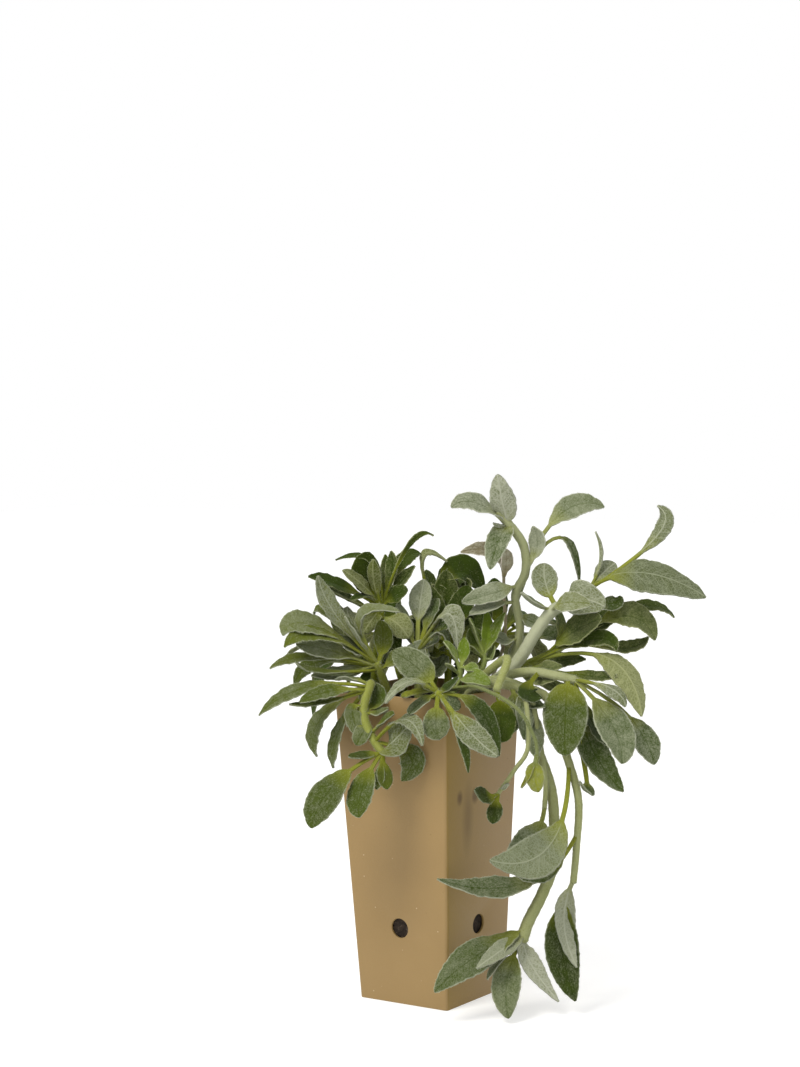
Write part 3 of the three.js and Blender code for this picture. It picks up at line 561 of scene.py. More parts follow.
def leaf_rings(skin, line, row, number, nature):
    """One leaf: a channelled stalk, then an oval blade, folded, waved and quilted by its veins.

    Its row holds how far back from the stem's tip it grows, counted in steps of the path; the
    points halfway and at its tip; its width; the way it heads, in degrees about z; its roll
    about the midrib; how deep it is folded; and its stalk's share, if it isn't the usual.
    """
    back, halfway, end, width, heading, roll, fold, *rest = row
    stalk = rest[0] if rest else STALK_SHARE
    base = line.at(1 - back / line.steps)[0]
    halfway, end = np.array(halfway, float), np.array(end, float)
    pull = 2 * halfway - base / 2 - end / 2

    def curve(t):
        return (1 - t) ** 2 * base + 2 * t * (1 - t) * pull + t**2 * end

    bend = curve(np.linspace(0, 1, 60)[:, None])
    length = np.linalg.norm(np.diff(bend, axis=0), axis=1).sum()
    waves = np.clip(round(length * (1 - stalk) / WAVE_STEP), 2, 4)
    rows = int(np.clip(length * (1 - stalk) / LEAF_STEP, 12, 46))
    ends = np.linspace(0, 1, rows)
    ends = 0.6 * ends + 0.2 * (1 - np.cos(np.pi * ends))
    s = np.concatenate([np.linspace(0, stalk, 6)[:-1], stalk + (1 - stalk) * ends])
    t = s[:, None]
    centre = curve(t)
    along = unit(2 * (1 - t) * (pull - base) + 2 * t * (end - pull))
    turn = math.radians(heading)
    level = np.array((-math.sin(turn), math.cos(turn), 0))
    flat = unit(np.cross(along, level))
    tilt = math.radians(roll) * np.minimum(1, t / 0.45)
    up = flat * np.cos(tilt) + np.cross(along, flat) * np.sin(tilt)
    across = np.cross(up, along)
    half = half_width(s, width, stalk, length)
    lift = fold * half / 2

    # the height of the blade's middle sheet, and how far out each point of it is
    columns = 2 * int(np.clip(width / 2.4, 4, 10))
    v = np.linspace(1, -1, columns + 1)
    i = np.arccos(1 - 2 * np.clip((s - stalk) / (1 - stalk), 0, 1)) / np.pi * waves
    wave = -np.cos(np.pi * i) * WAVE * np.minimum(1, half / 8)
    wave = wave * np.clip(np.minimum(i, waves - i), 0, 1)
    run = (s - stalk) * length
    shift = skin.random.uniform(0, 6, 4)
    frill = 0.3 * np.sin(run / 1.35 + shift[0]) + 0.35 * np.sin(run / 2.9 + shift[1])
    frill = frill * np.minimum(1, half / 6)
    height = lift[:, None] * (2 * np.abs(v) ** 1.4 - 1) + wave[:, None] * v * np.abs(v)
    height += frill[:, None] * np.sign(v + 1e-9) * np.abs(v) ** 4
    sideways = half[:, None] * v
    notch = 0.14 * np.sin(run / 0.55 + shift[2]) + 0.16 * np.sin(run / 1.1 + shift[3])
    sideways = sideways + (notch * np.minimum(1, half / 5))[:, None] * np.sign(v) * np.abs(v) ** 3

    # its two faces, sunk along the midrib and the side veins
    blade_share = np.clip((t - stalk) * 8, 0, 1)
    thick = 0.4 + 0.3 * (1 - np.abs(v)) + 0.35 * (1 - blade_share)
    off = np.abs(sideways)
    ridge = np.exp(-((off / 0.85) ** 2)) * blade_share * (1 - 0.6 * t)
    quilt = np.cos(2 * np.pi * ((run[:, None] - off * VEIN_LEAN) / VEIN_STEP - 0.5))
    quilt = quilt * (4 * np.abs(v) * (1 - np.abs(v))) * blade_share * min(1, width / 16)
    top = height + thick - 0.35 * ridge - 0.16 * quilt
    under = height - thick - 0.55 * ridge - 0.16 * quilt

    def points(raised, sides):
        out = across[:, None] * sides[..., None]
        return centre[:, None] + out + up[:, None] * raised[..., None]

    def rim(column, sign):
        """Outermost point of the edge, midway between the two faces."""
        edge = np.s_[:, column : column + 1]
        return points(height[edge], sideways[edge] + 0.3 * sign)

    lower = points(under, sideways)[:, ::-1]
    rings = np.concatenate([points(top, sideways), rim(columns, -1), lower, rim(0, 1)], axis=1)
    v_ring = np.concatenate([v, [-1.05], v[::-1], [1.05]])
    face = np.concatenate([np.ones(columns + 1), [0.0], -np.ones(columns + 1), [0.0]])
    blade = (run[:, None], v_ring * half[:, None], LEAF_SHIFT * number + FACE_SHIFT * (face < 0))
    form = ((t - stalk) / (1 - stalk), v_ring, face)
    skin.add(rings, blade=blade, form=form, nature=nature)

    # hairs along both edges, then all over
    random = skin.random
    density, long = RIM_HAIRS
    for column, way in ((columns + 1, -1), (rings.shape[1] - 1, 1)):
        count = int(length * density)
        i = random.integers(1, len(rings), count)
        f = random.random((count, 1))
        roots = rings[i, column] * (1 - f) + rings[i - 1, column] * f
        ways = way * across[i] + 0.45 * along[i] + up[i] * random.uniform(-0.9, 0.9, (count, 1))
        skin.grow_hairs(roots, ways, long)
    density, long = FACE_HAIRS
    i, k, roots = skin.scatter(rings, 1, len(rings), int(length * width * density))
    out = np.where((k <= columns)[:, None], up[i], -up[i])
    skin.grow_hairs(roots, out + 0.8 * along[i], long)


def plant_piece(name, points, faces, material):
    """A piece in the pot's frame, from points in the plant's frame."""
    piece = new_piece(name, points, faces)
    piece.data.transform(plant_frame)
    piece.data.materials.append(material)
    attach(piece, "root")
    return piece


hair_finish, _, _ = new_material(
    "white leaf hair", 0.7, Base_Color=HAIR_WHITE, Specular_IOR_Level=0.3
)


def grow(node, finish, rows, tone=(0, 0, 0), tones=None):
    """Makes a shoot in place of its node.

    A row of four is a stem: its foot in the soil, or None for a side stem; the points of its
    path; and its radius at both ends. The rows that follow it are its leaves.
    A tone is how much hairier, paler and yellower; tones are leaf by leaf, and 0 is the stems.
    """
    material, slot = finish
    tones = tones or {}
    bark = np.array(tones.get(0, tone)) + STEM_TONE
    skin = Skin(sum(node.encode()))
    number = 0
    for row in rows:
        if len(row) == 4:
            foot, path, *radius = row
            line = StemLine(foot, path)
            stem_rings(skin, line, radius, number, bark)
        else:
            number += 1
            own = skin.random.uniform(-1, 1, 3) * LEAF_TONES
            leaf_rings(skin, line, row, number, np.array(tones.get(number, tone)) + own)
    piece = plant_piece(node + "_foliage", np.vstack(skin.points), skin.faces, material)
    for name, values in skin.values.items():
        attribute = piece.data.attributes.new(name, "FLOAT_VECTOR", "POINT")
        attribute.data.foreach_set("vector", np.vstack(values).astype(np.float32).ravel())
    piece.data.shade_smooth()
    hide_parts(node)
    hairs = np.vstack(skin.hairs)
    hairs[..., 2] = hairs[..., 2].clip(0.3)
    corners = np.arange(3 * len(hairs)).reshape(-1, 3).tolist()
    fuzz = plant_piece(node + "_hairs", hairs.reshape(-1, 3), corners, hair_finish)


SILVER = leaf_material(
    "silver_felted_leaf", upper=(0.034, 0.056, 0.006, 1), under=(0.072, 0.09, 0.018, 1),
    stalk=(0.15, 0.165, 0.014, 1), felt=(0.195, 0.218, 0.128, 1), cover=(0.34, 0.48),
)
GREEN = leaf_material(
    "green_felted_leaf", upper=(0.028, 0.048, 0.002, 1), under=(0.065, 0.082, 0.008, 1),
    stalk=(0.13, 0.15, 0.008, 1), felt=(0.17, 0.19, 0.075, 1), cover=(0.1, 0.42),
)
YOUNG = leaf_material(
    "young_leaf", upper=(0.1, 0.15, 0.01, 1), under=(0.14, 0.17, 0.025, 1),
    stalk=(0.2, 0.24, 0.05, 1), felt=(0.25, 0.29, 0.13, 1), cover=(0.2, 0.35),
)
YELLOWED = leaf_material(
    "yellowed_leaf", upper=(0.24, 0.26, 0.025, 1), under=(0.27, 0.28, 0.05, 1),
    stalk=(0.13, 0.15, 0.04, 1), felt=(0.23, 0.25, 0.12, 1), cover=(0.2, 0.3),
)
DRIED = leaf_material(
    "dried_leaf", upper=(0.2, 0.17, 0.09, 1), under=(0.25, 0.22, 0.13, 1),
    stalk=(0.2, 0.17, 0.07, 1), felt=(0.46, 0.44, 0.33, 1), cover=(0.6, 0.75),
)

# ---- Leafy stem at the left ----
# A felted stem that leans out over the left of the rim and arches its long, narrow leaves
# out and up. Soft living leaf and stem, rooted in the soil.
grow("leafy_stem_left", SILVER, [
    ((-27, -6), [(-33, -14, 225)], 3.2, 2.6),
    (0, (-60, -17, 259), (-71, -19, 285), 15, 8, -50, -0.2),
    (0, (-43, -16, 257), (-17, -17, 260), 14, 350, 25, 0.4),
    (0, (-46, -22, 246), (-53, -28, 259), 12, 215, -35, 0.3),
    (0.1, (-75, -22, 253), (-94, -30, 247), 20, 195, -40, 0.2),
    (0.1, (-64, -5, 257), (-75, 2, 257), 10, 160, -20, 0.3),
    (0, (-70, -26, 247), (-93, -36, 240), 14, 200, -40, 0.2),
    (0.1, (-66, -18, 236), (-86, -22, 240), 17, 190, -50, 0.15),
    (0.1, (-76, -16, 231), (-104, -19, 224), 10, 185, -30, 0.2),
    (0.2, (-69, -30, 223), (-85, -44, 231), 9, 210, -20, 0.2),
    (0.2, (-72, -4, 226), (-89, 3, 208), 10, 240, -20, 0.2),
    (0, (-49, 4, 249), (-53, 18, 260), 9, 300, 0, -0.4),
    (0.1, (-29, -5, 233), (-24, 2, 238), 7, 60, 0, 0.4),
    (0, (-46, -12, 235), (-61, -15, 244), 14, 200, -45, 0.2),
    (0, (-53, -15, 220), (-76, -28, 220), 13, 185, -40, 0.2),
    (0, (-29, -8, 239), (-31, -4, 253), 13, 90, 10, 0.25),
    (0.2, (-23, -12, 227), (-18, -10, 235), 11, 20, 30, 0.25),
], tone=(0.05, 0.05, 0.3))

# ---- Leafy stem behind it ----
# Stands taller than the stem before it, with a crown of upright, greener leaves whose
# upper faces carry little hair. Rooted in the soil.
grow("leafy_stem_left_back", GREEN, [
    ((-36, 12), [(-33, 10, 235), (-30, 12, 260)], 2.8, 2.2),
    (0, (-57, 5, 276), (-78, -1, 283), 13, 195, -40, 0.25),
    (0.2, (-53, 10, 268), (-69, 8, 276), 9, 185, -25, 0.3),
    (0, (-42, 2, 276), (-55, -6, 287), 12, 35, -60, -0.2),
    (0, (-39, 2, 269), (-50, -7, 267), 8, 230, -20, 0.2),
    (0, (-36, 9, 291), (-60, 7, 293), 7, 190, -30, 0.2),
    (0, (-39, 8, 280), (-37, 5, 298), 20, 90, 0, 0.15),
    (0, (-34, 3, 279), (-34, -5, 294), 9, 250, 0, 0.4),
    (0, (-27, 22, 277), (-27, 31, 294), 9, 100, 0, 0.4),
    (0, (-23, 19, 282), (-23, 24, 297), 9, 60, 0, 0.4),
    (0, (-16, 30, 288), (-3, 44, 293), 11, 20, 40, 0.3),
    (0, (-17, 17, 276), (-7, 20, 287), 10, 20, 20, 0.4),
    (0.3, (-50, 15, 265), (-68, 18, 272), 8, 170, -20, 0.3),
    (0.3, (-21, 4, 251), (-12, 2, 240), 17, 120, 20, -0.2),
    (0, (-11, 18, 301), (6, 22, 307), 4, 70, 60, 0.1),
    (0.1, (-36, 4, 253), (-42, 0, 244), 14, 70, 0, -0.2),
    (0, (-21, 10, 268), (-12, 8, 272), 13, 10, 40, 0.2),
    (0.7, (-25, 8, 241), (-19, 5, 232), 12, 300, 20, 0.2),
    (1.4, (-22, 18, 224), (-7, 20, 230), 17, 15, 35, 0.2),
    (1.7, (-37, 20, 221), (-55, 26, 218), 13, 185, -50, 0.2),
    (1.9, (-34, 18, 214), (-46, 24, 210), 12, 190, -50, 0.2),
])

# ---- Leafy stem at the back ----
# Grows behind the middle of the pot, its broad green leaves arching to the right.
# Rooted in the soil.
grow("leafy_stem_back_centre", GREEN, [
    ((-4, 30), [(4, 34, 235), (3, 36, 259)], 2.8, 2.2),
    (0, (-1, 41, 291), (15, 45, 287), 9, 180, 20, -0.3),
    (0.1, (11, 46, 277), (14, 55, 285), 9, 60, -30, 0.2),
    (0, (22, 43, 281), (39, 49, 266), 24, 0, 45, 0.35),
    (0.3, (12, 42, 272), (22, 34, 265), 15, 170, 30, -0.25),
    (0.3, (10, 39, 265), (4, 36, 273), 14, 240, -20, 0.3),
    (0, (25, 38, 268), (28, 40, 276), 10, 40, 0, 0.3),
    (0.2, (8, 30, 251), (11, 26, 242), 14, 120, 0, -0.2),
    (0.2, (-2, 30, 254), (-7, 26, 248), 13, 60, 0, -0.2),
    (0.8, (14, 27, 244), (19, 29, 252), 13, 60, 0, 0.25),
    (0.8, (22, 25, 239), (30, 25, 243), 13, 10, 40, 0.25),
    (1, (-1, 26, 240), (-3, 27, 245), 12, 110, 0, 0.25),
    (1.7, (-19, 30, 226), (-33, 27, 233), 18, 185, -30, 0.2),
    (1.5, (11, 31, 224), (26, 27, 232), 18, 350, 30, 0.2),
], tone=(0.1, 0.1, 0))

# ---- Leafy stem in the middle ----
# A short stem in the middle of the pot. One leaf stands up on a long pale stalk, and the
# others bend over round it.
grow("leafy_stem_centre", SILVER, [
    ((-6, 2), [(-6, 4, 222), (-6, 2, 231)], 3, 2.4),
    (0, (-5, 15, 254), (-1, 27, 277), 15, 255, 0, -0.3, 0.42),
    (0, (14, -6, 257), (20, -11, 234), 16, 150, 30, -0.3),
    (0, (3, 16, 255), (7, 24, 264), 10, 60, 0, 0.35),
    (0, (1, 1, 233), (-15, 0, 232), 16, 195, -45, 0.2),
    (0, (9, -2, 244), (14, -5, 233), 9, 340, 0, 0.3),
    (0.3, (-19, -4, 230), (-27, -10, 222), 12, 210, -20, 0.3),
    (0, (-14, 10, 248), (-19, 17, 262), 12, 130, 0, 0.35),
    (0, (13, 16, 247), (21, 26, 259), 12, 50, 0, 0.3),
    (0, (-11, 16, 239), (-16, 12, 246), 13, 140, 0, 0.2),
    (0, (2, 6, 237), (7, 8, 242), 12, 40, 10, 0.25),
    (1.5, (4, 12, 216), (14, 15, 226), 14, 40, 20, 0.2),
], tone=(0.15, 0.15, 0))

# ---- Leafy stem behind the middle ----
# Fills the space behind the middle of the pot with upright green leaves. Rooted in the
# soil.
grow("leafy_stem_middle", GREEN, [
    ((14, 16), [(14, 18, 222), (15, 20, 238)], 2.6, 2.2),
    (0, (6, 24, 256), (-1, 28, 274), 17, 110, 0, 0.2),
    (0, (23, 26, 256), (29, 30, 272), 17, 70, 0, 0.2),
    (0, (14, 30, 260), (14, 36, 282), 18, 90, 0, 0.2),
    (0.3, (0, 20, 240), (-14, 20, 250), 16, 160, -30, 0.2),
    (0.3, (31, 22, 244), (44, 25, 256), 16, 30, 30, 0.2),
    (0.6, (2, 12, 230), (-9, 9, 238), 15, 200, -40, 0.2),
    (0.6, (27, 14, 230), (37, 14, 241), 15, 340, 40, 0.2),
    (0.4, (39, 26, 226), (48, 30, 228), 12, 0, 40, 0.2),
    (0.7, (22, 22, 217), (13, 26, 212), 12, 180, -40, 0.2),
])

# ---- Young shoot at the front ----
# New growth, bright yellow-green, with little hair as yet and its leaves still small.
# It stands in the soil near the front edge of the pot.
grow("young_shoot_front", YOUNG, [
    ((17, -20), [(21, -20, 212), (22, -20, 222)], 2.2, 1.6),
    (0, (24, -14, 231), (25, -8, 241), 8, 90, 0, 0.3),
    (0.2, (17, -19, 233), (11, -19, 240), 9, 175, -20, 0.35),
    (0, (28, -24, 223), (33, -27, 221), 8, 330, 30, 0.4),
    (1.2, (28, -30, 218), (41, -38, 213), 13, 330, 35, 0.15),
    (0.4, (16, -22, 223), (12, -23, 226), 7, 200, 0, 0.3),
])

# ---- Young shoot among the stems ----
# New growth between the stems that lean out to the right, with narrow upright leaves.
# It stands in the soil.
grow("young_shoot_right", YOUNG, [
    ((31, 1), [(38, 0, 222), (38, 0, 228)], 2.2, 1.6),
    (0, (41, 8, 243), (40, 16, 257), 9, 110, 0, 0.3, 0.05),
    (0, (44, 7, 241), (53, 12, 255), 9, 40, 20, 0.3, 0.08),
    (0.3, (41, 2, 226), (45, 4, 234), 10, 30, 10, 0.35, 0.05),
    (0, (33, 1, 242), (29, 2, 253), 9, 170, 0, 0.3),
    (0.3, (31, -2, 232), (26, -4, 236), 8, 200, 0, 0.3),
    (0.35, (33, 5, 237), (32, 8, 246), 12, 100, 0, 0.25),
])

# ---- Tallest stem ----
# A bare stem that sways up from the right of the pot and ends in a tuft of silver leaves
# far above the rest. Rooted in the soil.
grow("tall_stem", SILVER, [
    ((50, 9), [
        (57, 16, 221), (63, 16, 243), (60, 14, 266), (67, 12, 282), (66, 12, 300), (56, 10, 315),
        (50, 8, 322),
    ], 2.4, 3),
    (1, (34, 4, 330), (18, 0, 327), 17, 195, -50, 0.15, 0.05),
    (1, (52, 0, 332), (49, -7, 349), 17, 255, 0, 0.1, 0.05),
    (1.1, (49, 1, 305), (43, -7, 286), 17, 255, 0, 0.2, 0.05),
    (1.1, (50, 8, 314), (46, 6, 316), 6, 200, 0, 0.4),
    (2.7, (94, 17, 322), (121, 21, 324), 18, 10, 50, 0.15, 0.3),
    (2.9, (92, 19, 304), (104, 25, 272), 7, 20, 60, 0.4, 0.45),
    (2.9, (75, 10, 300), (72, 8, 313), 12, 60, 0, 0.2),
    (3.6, (46, 10, 269), (24, 4, 263), 16, 190, -50, 0.2, 0.15),
    (4.2, (44, 9, 260), (29, 4, 255), 12, 200, -30, 0.3),
    (4.6, (69, 16, 249), (81, 12, 244), 12, 330, 30, 0.25),
    (5.2, (53, 14, 236), (40, 12, 245), 12, 150, -20, 0.25),
    (6, (62, 30, 224), (68, 38, 236), 15, 60, 10, 0.2),
], tone=(0.4, 0.45, 0), tones={0: (0.3, 0.5, 0), 1: (0.6, 0.8, 0)})

# ---- Dead stalk ----
# A thin dead stalk that still carries one dried, curled leaf, brown-grey and wrinkled.
# It stands in the soil behind the tall stem.
grow("dried_leaf_stem", DRIED, [
    ((42, 15), [(53, 34, 234), (53, 32, 268), (53, 30, 278)], 1.2, 1),
    (0, (45, 27, 295), (24, 25, 295), 13, 190, -55, 0.2, 0.12),
    (0, (55, 27, 288), (54, 24, 297), 9, 110, 0, 0.4, 0.15),
])

# ---- Stem that leans to the upper right ----
# The thickest stem, white with hair, leaning out to the upper right. It ends in long
# pointed leaves whose undersides show a net of raised veins.
grow("leafy_stem_right_upper", SILVER, [
    ((40, -5), [
        (60, -6, 224), (72, -8, 243), (84, -8, 258), (97, -6, 263), (108, -4, 271),
    ], 4.4, 3.6),
    (2, (91, -26, 265), (108, -32, 264), 14, 340, 55, 0.25),
    (2, (73, -10, 263), (63, -11, 271), 13, 190, -10, 0.3),
    (1.8, (80, 2, 275), (80, 9, 288), 17, 260, 0, -0.35),
    (1.7, (98, -13, 267), (118, -19, 261), 25, 120, 55, -0.1, 0.1),
    (0, (142, -8, 281), (185, -11, 265), 26, 175, 50, 0.2),
    (0, (155, 5, 305), (156, 13, 325), 11, 200, 50, 0.15, 0.3),
    (0, (117, 2, 290), (114, 6, 309), 5, 150, 40, 0.3),
    (0, (119, 2, 282), (127, 7, 287), 13, 210, 45, -0.15),
    (0.9, (122, -1, 261), (129, 2, 266), 10, 15, 60, 0.1),
    (3.2, (80, 6, 240), (91, 8, 244), 13, 10, 40, 0.25),
], tone=(0.1, 0.15, 0.05), tones={0: (0.3, 0.8, 0), 1: (0.5, 0.4, 0.5), 5: (-0.25, -0.1, 0.1)})

# ---- Stem that leans to the right ----
# Leans out below the thick stem, its leaves greener, some broad and some long.
# Rooted in the soil.
grow("leafy_stem_right", GREEN, [
    ((46, 3), [(63, 2, 219), (81, 2, 227), (99, 4, 239)], 3.4, 2.6),
    (0, (142, 17, 257), (168, 28, 248), 11, 20, 35, 0.2, 0.35),
    (0, (134, 1, 253), (152, -1, 236), 21, 355, 45, 0.3),
    (0.2, (131, 9, 230), (149, 13, 237), 12, 10, 30, 0.3),
    (1.2, (97, -11, 244), (115, -21, 253), 23, 330, 50, 0.15),
    (2, (108, -14, 239), (124, -27, 233), 13, 335, 45, 0.25),
    (1.6, (118, -22, 227), (139, -41, 191), 19, 150, 35, 0.25, 0.38),
    (2, (109, -18, 215), (123, -34, 217), 10, 330, 30, 0.25),
    (0.2, (117, 16, 247), (116, 26, 251), 12, 60, 0, 0.3),
    (0.8, (89, 3, 249), (81, 4, 257), 14, 150, 0, 0.3),
    (1.9, (76, -12, 220), (89, -20, 222), 12, 340, 35, 0.25),
    (2.3, (72, -18, 215), (85, -23, 215), 13, 335, 40, 0.2),
    (0.5, (112, 12, 246), (129, 18, 252), 16, 10, 40, 0.2),
    (2.4, (83, 12, 221), (107, 16, 222), 13, 0, 40, 0.2),
    (2.2, (80, 0, 208), (100, -2, 201), 12, 0, 30, 0.2),
], tone=(0.35, 0.15, 0), tones={6: (0.5, 0.3, 0)})

# ---- Stem that hangs at the right ----
# Hangs over the rim at the right with the broadest leaves of the plant, thickly felted
# and facing outwards. Rooted in the soil.
grow("leafy_stem_right_lower", SILVER, [
    ((35, -13), [(47, -14, 214), (66, -20, 219), (84, -26, 217), (96, -26, 214)], 3.4, 2.8),
    (0.3, (89, -45, 192), (88, -58, 169), 29, 272, 0, 0.1, 0.08),
    (0.2, (106, -36, 172), (126, -48, 143), 20, 315, 25, 0.15, 0.22),
    (0, (119, -46, 188), (124, -63, 164), 24, 310, 20, 0.2),
    (0, (131, -34, 190), (147, -40, 159), 18, 345, 45, 0.1, 0.5),
    (0.5, (102, -43, 155), (98, -57, 151), 13, 235, -40, 0.2, 0.6),
    (0, (107, -33, 187), (116, -38, 172), 14, 330, 0, 0.2),
    (0, (119, -40, 209), (128, -46, 198), 10, 155, 30, 0.2),
    (1.6, (65, -41, 209), (74, -42, 205), 13, 320, 30, 0.25),
], tone=(-0.25, 0, 0), tones={
    0: (0.1, 0.5, 0), 1: (-0.35, 0.05, 0), 3: (0.3, 0.25, 0), 4: (0.3, 0.3, 0),
})

# ---- Trailing stem with two side stems ----
# Falls over the rim and down past the side of the pot to a tuft of silver leaves just
# above the ground. Two thin side stems with leaves of their own grow out of it.
grow("trailing_stem_left", SILVER, [
    ((25, -28), [
        (36, -31, 213), (61, -30, 208), (65, -34, 186), (80, -34, 142), (80, -36, 96),
        (73, -41, 76), (63, -46, 58), (59, -50, 48),
    ], 2.6, 4),
    (2.7, (41, -57, 83), (4, -73, 93), 17, 205, -40, 0.2, 0.06),
    (0.6, (26, -69, 40), (1, -84, 22), 24, 210, -35, 0.1, 0.06),
    (0.2, (45, -68, 45), (28, -84, 37), 13, 20, -40, -0.3, 0.06),
    (0, (48, -69, 27), (48, -83, 4), 19, 262, 0, 0.15),
    (0, (64, -60, 33), (81, -67, 10), 14, 150, 30, -0.2, 0.06),
    (0, (44, -62, 37), (35, -69, 26), 7, 220, 0, 0.3),
    (6, (67, -37, 201), (76, -44, 199), 10, 300, 20, 0.2),
    (6, (68, -40, 185), (69, -48, 167), 13, 265, 0, 0.2),
    (6.3, (57, -38, 199), (54, -44, 182), 13, 265, 0, 0.2),
    (6.1, (63, -38, 199), (62, -46, 178), 13, 290, 0, 0.2),
    (None, [
        (61, -30, 208), (68, -38, 202), (73, -40, 173), (76, -40, 150), (75, -40, 132),
    ], 1.8, 1.6),
    (0, (67, -52, 115), (49, -62, 104), 20, 220, -40, 0.15),
    (None, [
        (61, -30, 208), (64, -48, 200), (64, -56, 174), (55, -58, 160), (44, -60, 145),
    ], 1.6, 1.3),
    (0, (36, -66, 145), (29, -70, 150), 13, 215, -50, 0.15),
    (0, (42, -66, 136), (40, -71, 128), 10, 265, 0, 0.2),
    (0.3, (48, -60, 149), (51, -61, 152), 8, 330, 0, 0.2),
], tone=(0.12, 0.35, 0), tones={
    0: (0.2, 0.4, 0), 1: (0.4, 0.35, 0), 2: (0.05, 0.05, 0), 3: (0.4, 0.25, 0), 4: (0.1, 0.1, 0),
    5: (0.6, 0.8, 0), 12: (-0.5, -0.2, 0.1), 13: (-0.5, -0.2, 0.1),
})

# ---- Second trailing stem ----
# Falls beside the first and ends in two leaves nested in one another; higher up a broad
# leaf shows its veined underside. Rooted in the soil.
grow("trailing_stem_right", SILVER, [
    ((30, -21), [
        (43, -22, 214), (62, -21, 209), (80, -26, 200), (90, -32, 166), (97, -42, 138),
        (95, -48, 107), (93, -44, 84),
    ], 3.4, 2.2),
    (2.8, (76, -80, 115), (37, -105, 111), 27, 45, -55, -0.2, 0.3),
    (1.3, (73, -67, 94), (49, -82, 101), 14, 215, -30, 0.2),
    (0, (84, -56, 50), (92, -66, 10), 22, 215, -45, 0.25),
    (0, (86, -56, 60), (93, -66, 32), 14, 50, -60, -0.4, 0.1),
], tone=(0.12, 0.2, 0), tones={
    0: (0.2, 0.4, 0), 1: (0, 0, 0), 3: (-0.35, -0.1, 0), 4: (0.4, 0.6, 0),
})

# ---- Stem with yellowed leaves ----
# A thin stem that hangs over the rim; its last leaves have turned yellow and begun
# to wither. Rooted in the soil.
grow("yellowed_leaf_stem", YELLOWED, [
    ((21, -36), [(30, -43, 213), (56, -62, 202), (68, -60, 182), (70, -59, 170)], 1.3, 1.2),
    (0, (68, -62, 159), (70, -66, 147), 12, 260, 0, 0.2),
    (0, (65, -60, 158), (59, -61, 149), 7, 200, 0, 0.2),
    (3.2, (-6, -44, 210), (-16, -46, 207), 8, 200, -20, 0.3),
    (3.4, (3, -40, 211), (-2, -38, 216), 7, 170, -20, 0.3),
])

# ---- Stem at the front corner ----
# Spreads over the rim at the front, leaves to both sides and hanging down before the
# pot. Rooted in the soil.
grow("leafy_stem_front", SILVER, [
    ((4, -45), [(7, -60, 211)], 3, 2.4),
    (0, (-5, -53, 226), (-22, -45, 237), 20, 150, -55, 0.15),
    (0.1, (-11, -67, 220), (-27, -73, 207), 11, 20, -20, -0.25),
    (0, (5, -70, 194), (7, -77, 184), 17, 270, 0, 0.2),
    (0, (26, -86, 190), (43, -106, 177), 17, 115, 20, -0.15),
    (0.1, (32, -64, 202), (45, -68, 171), 12, 310, 25, 0.3),
    (0, (12, -59, 214), (20, -57, 221), 9, 20, 10, 0.3),
    (0.1, (20, -77, 188), (25, -74, 162), 6, 280, 0, 0.2),
    (0, (-4, -62, 206), (-12, -68, 199), 12, 230, 0, 0.2),
    (0, (13, -63, 207), (21, -62, 202), 12, 320, 20, 0.2),
])

# ---- Bent stem ----
# A pale stem, bent over sharply, that holds one dark leaf down in front of the pot.
# Rooted in the soil.
grow("bent_stem", GREEN, [
    ((27, -9), [(52, -27, 229), (45, -43, 211)], 2.9, 2.6),
    (0, (47, -49, 194), (47, -56, 178), 19, 285, 0, 0.2),
], tones={0: (0.2, 0.6, 0)})

# ---- Stem that hangs at the left ----
# Hangs over the left of the rim with leaves all along it, long ones reaching out and
# broad ones hanging in front of the pot. Rooted in the soil.
grow("leafy_stem_front_left", SILVER, [
    ((-38, -18), [
        (-37, -27, 213), (-38, -37, 213), (-42, -43, 197), (-36, -50, 181), (-30, -54, 173),
    ], 3.1, 2.6),
    (1.9, (-36, -36, 204), (-38, -30, 214), 18, 85, 0, 0.6),
    (2.8, (-63, -46, 212), (-83, -53, 206), 12, 200, -40, 0.25),
    (3, (-79, -41, 214), (-110, -47, 197), 12, 190, -35, 0.2),
    (2.8, (-70, -42, 204), (-90, -46, 204), 9, 190, -20, 0.25),
    (3.2, (-71, -25, 191), (-74, -21, 165), 15, 235, 20, 0.2),
    (3, (-58, -33, 185), (-63, -32, 159), 16, 235, 30, 0.2),
    (2.2, (-49, -43, 198), (-44, -45, 180), 11, 240, -20, 0.35),
    (3.2, (-51, -28, 218), (-61, -26, 217), 12, 170, 0, 0.25),
    (0, (-21, -60, 182), (-11, -65, 193), 24, 150, 70, -0.1, 0.05),
    (0.8, (-15, -69, 196), (-4, -83, 181), 12, 135, 20, -0.25),
    (0.8, (-12, -56, 170), (-18, -55, 154), 17, 285, 0, 0.2),
    (0, (-61, -66, 154), (-76, -76, 128), 23, 205, -35, 0.05, 0.3),
    (0, (-43, -68, 152), (-45, -79, 135), 18, 250, 0, 0.15),
    (0, (-29, -62, 160), (-27, -68, 151), 10, 280, 0, 0.2),
    (0, (-41, -56, 171), (-52, -58, 171), 11, 190, -20, 0.3),
    (0, (-32, -62, 159), (-34, -68, 151), 7, 265, 0, 0.3),
    (1.6, (-42, -48, 186), (-47, -51, 177), 13, 250, 0, 0.2),
    (1.2, (-29, -52, 193), (-22, -56, 198), 10, 330, 30, 0.3),
    (2, (-33, -44, 197), (-26, -48, 200), 9, 340, 20, 0.3),
    (2.6, (-47, -38, 192), (-53, -42, 189), 11, 220, -20, 0.25),
], tone=(-0.12, 0.05, 0.2), tones={0: (0.1, 0.1, 0.1)})

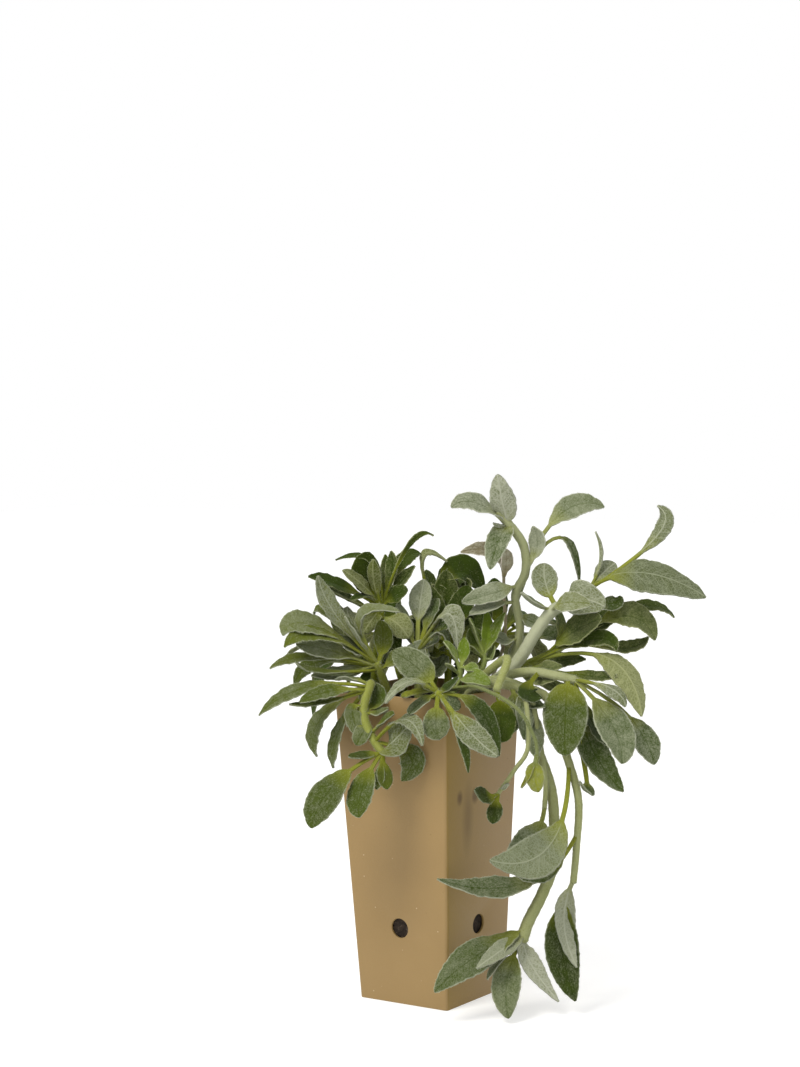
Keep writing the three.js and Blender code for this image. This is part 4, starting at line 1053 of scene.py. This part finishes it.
# ---- Stems at the back ----
# Four shoots that lean out over the back of the rim. Each fans its leaves out to both sides
# of the way it leans, and by turns they hang, arch and stand up. Rooted in the soil.
BACK_SHOOTS = [  # foot, crown, and the way it leans in degrees about z
    ((-29, 22), (-50, 34, 222), 174),
    ((-17, 35), (-26, 58, 234), 112),
    ((4, 41), (13, 58, 236), 70),
    ((28, 25), (50, 45, 234), 34),
]
BACK_LEAVES = 6
POSTURES = [  # how far out and up a leaf's middle and its tip are from the crown, and its width
    ((22, -2), (34, -34), 19),
    ((26, 12), (46, 2), 17),
    ((10, 22), (18, 40), 17),
]


def repeatable(state):
    """Random numbers from 0 to 1 that the model's own source draws too."""
    while True:
        state = (state * 1664525 + 1013904223) % 2**32
        yield state / 2**32


for number, (foot, crown, lean) in enumerate(BACK_SHOOTS, 1):
    draw = repeatable(number)
    rows = [(foot, [crown], 2.8, 2.3)]
    for k in range(BACK_LEAVES):
        side = 1 if k % 2 else -1
        heading = lean + side * (14 + 22 * (k // 2)) + 10 * next(draw)
        reach = 0.85 + 0.3 * next(draw)
        middle, tip, width = POSTURES[k % 3]
        way = Vector((math.cos(math.radians(heading)), math.sin(math.radians(heading)), 0))
        ends = [
            Vector(crown) + reach * (way * out + Vector((0, 0, up))) for out, up in (middle, tip)
        ]
        rows.append((0, *ends, width * reach, heading, side * 12, 0.2))
    grow(f"leafy_stem_back_{number}", GREEN, rows)

# ---- Floor and light ----
# A plain white floor and white surroundings, with one large soft lamp high at the left of
# the camera. None of it is part of the object.
FLOOR = [(-4000, -4000, 0), (4000, -4000, 0), (4000, 4000, 0), (-4000, 4000, 0)]
floor = new_piece("floor", FLOOR, [range(4)])
floor_finish, _, _ = new_material(
    "white floor", 0.9, Base_Color=(0.6, 0.6, 0.6, 1), Emission_Color=(1, 1, 1, 1),
    Emission_Strength=0.45,
)
floor.data.materials.append(floor_finish)

world = bpy.data.worlds.new("white surroundings")
world.use_nodes = True
surroundings = world.node_tree.nodes["Background"].inputs
surroundings["Color"].default_value = (1, 1, 1, 1)
surroundings["Strength"].default_value = 1.0
bpy.context.scene.world = world
bpy.context.scene.view_settings.view_transform = "Standard"

glow = bpy.data.lights.new("main lamp", "AREA")
glow.size = 0.9
glow.energy = 40
glow.color = (1, 0.97, 0.9)
lamp_at = Vector((-1.0, -1.1, 2.0))
aimed = (Vector((0, 0, 0.18)) - lamp_at).to_track_quat("-Z", "Y").to_matrix().to_4x4()
lamp = put_in_scene("main lamp", glow)
lamp.matrix_world = plant_frame @ Matrix.Translation(lamp_at) @ aimed
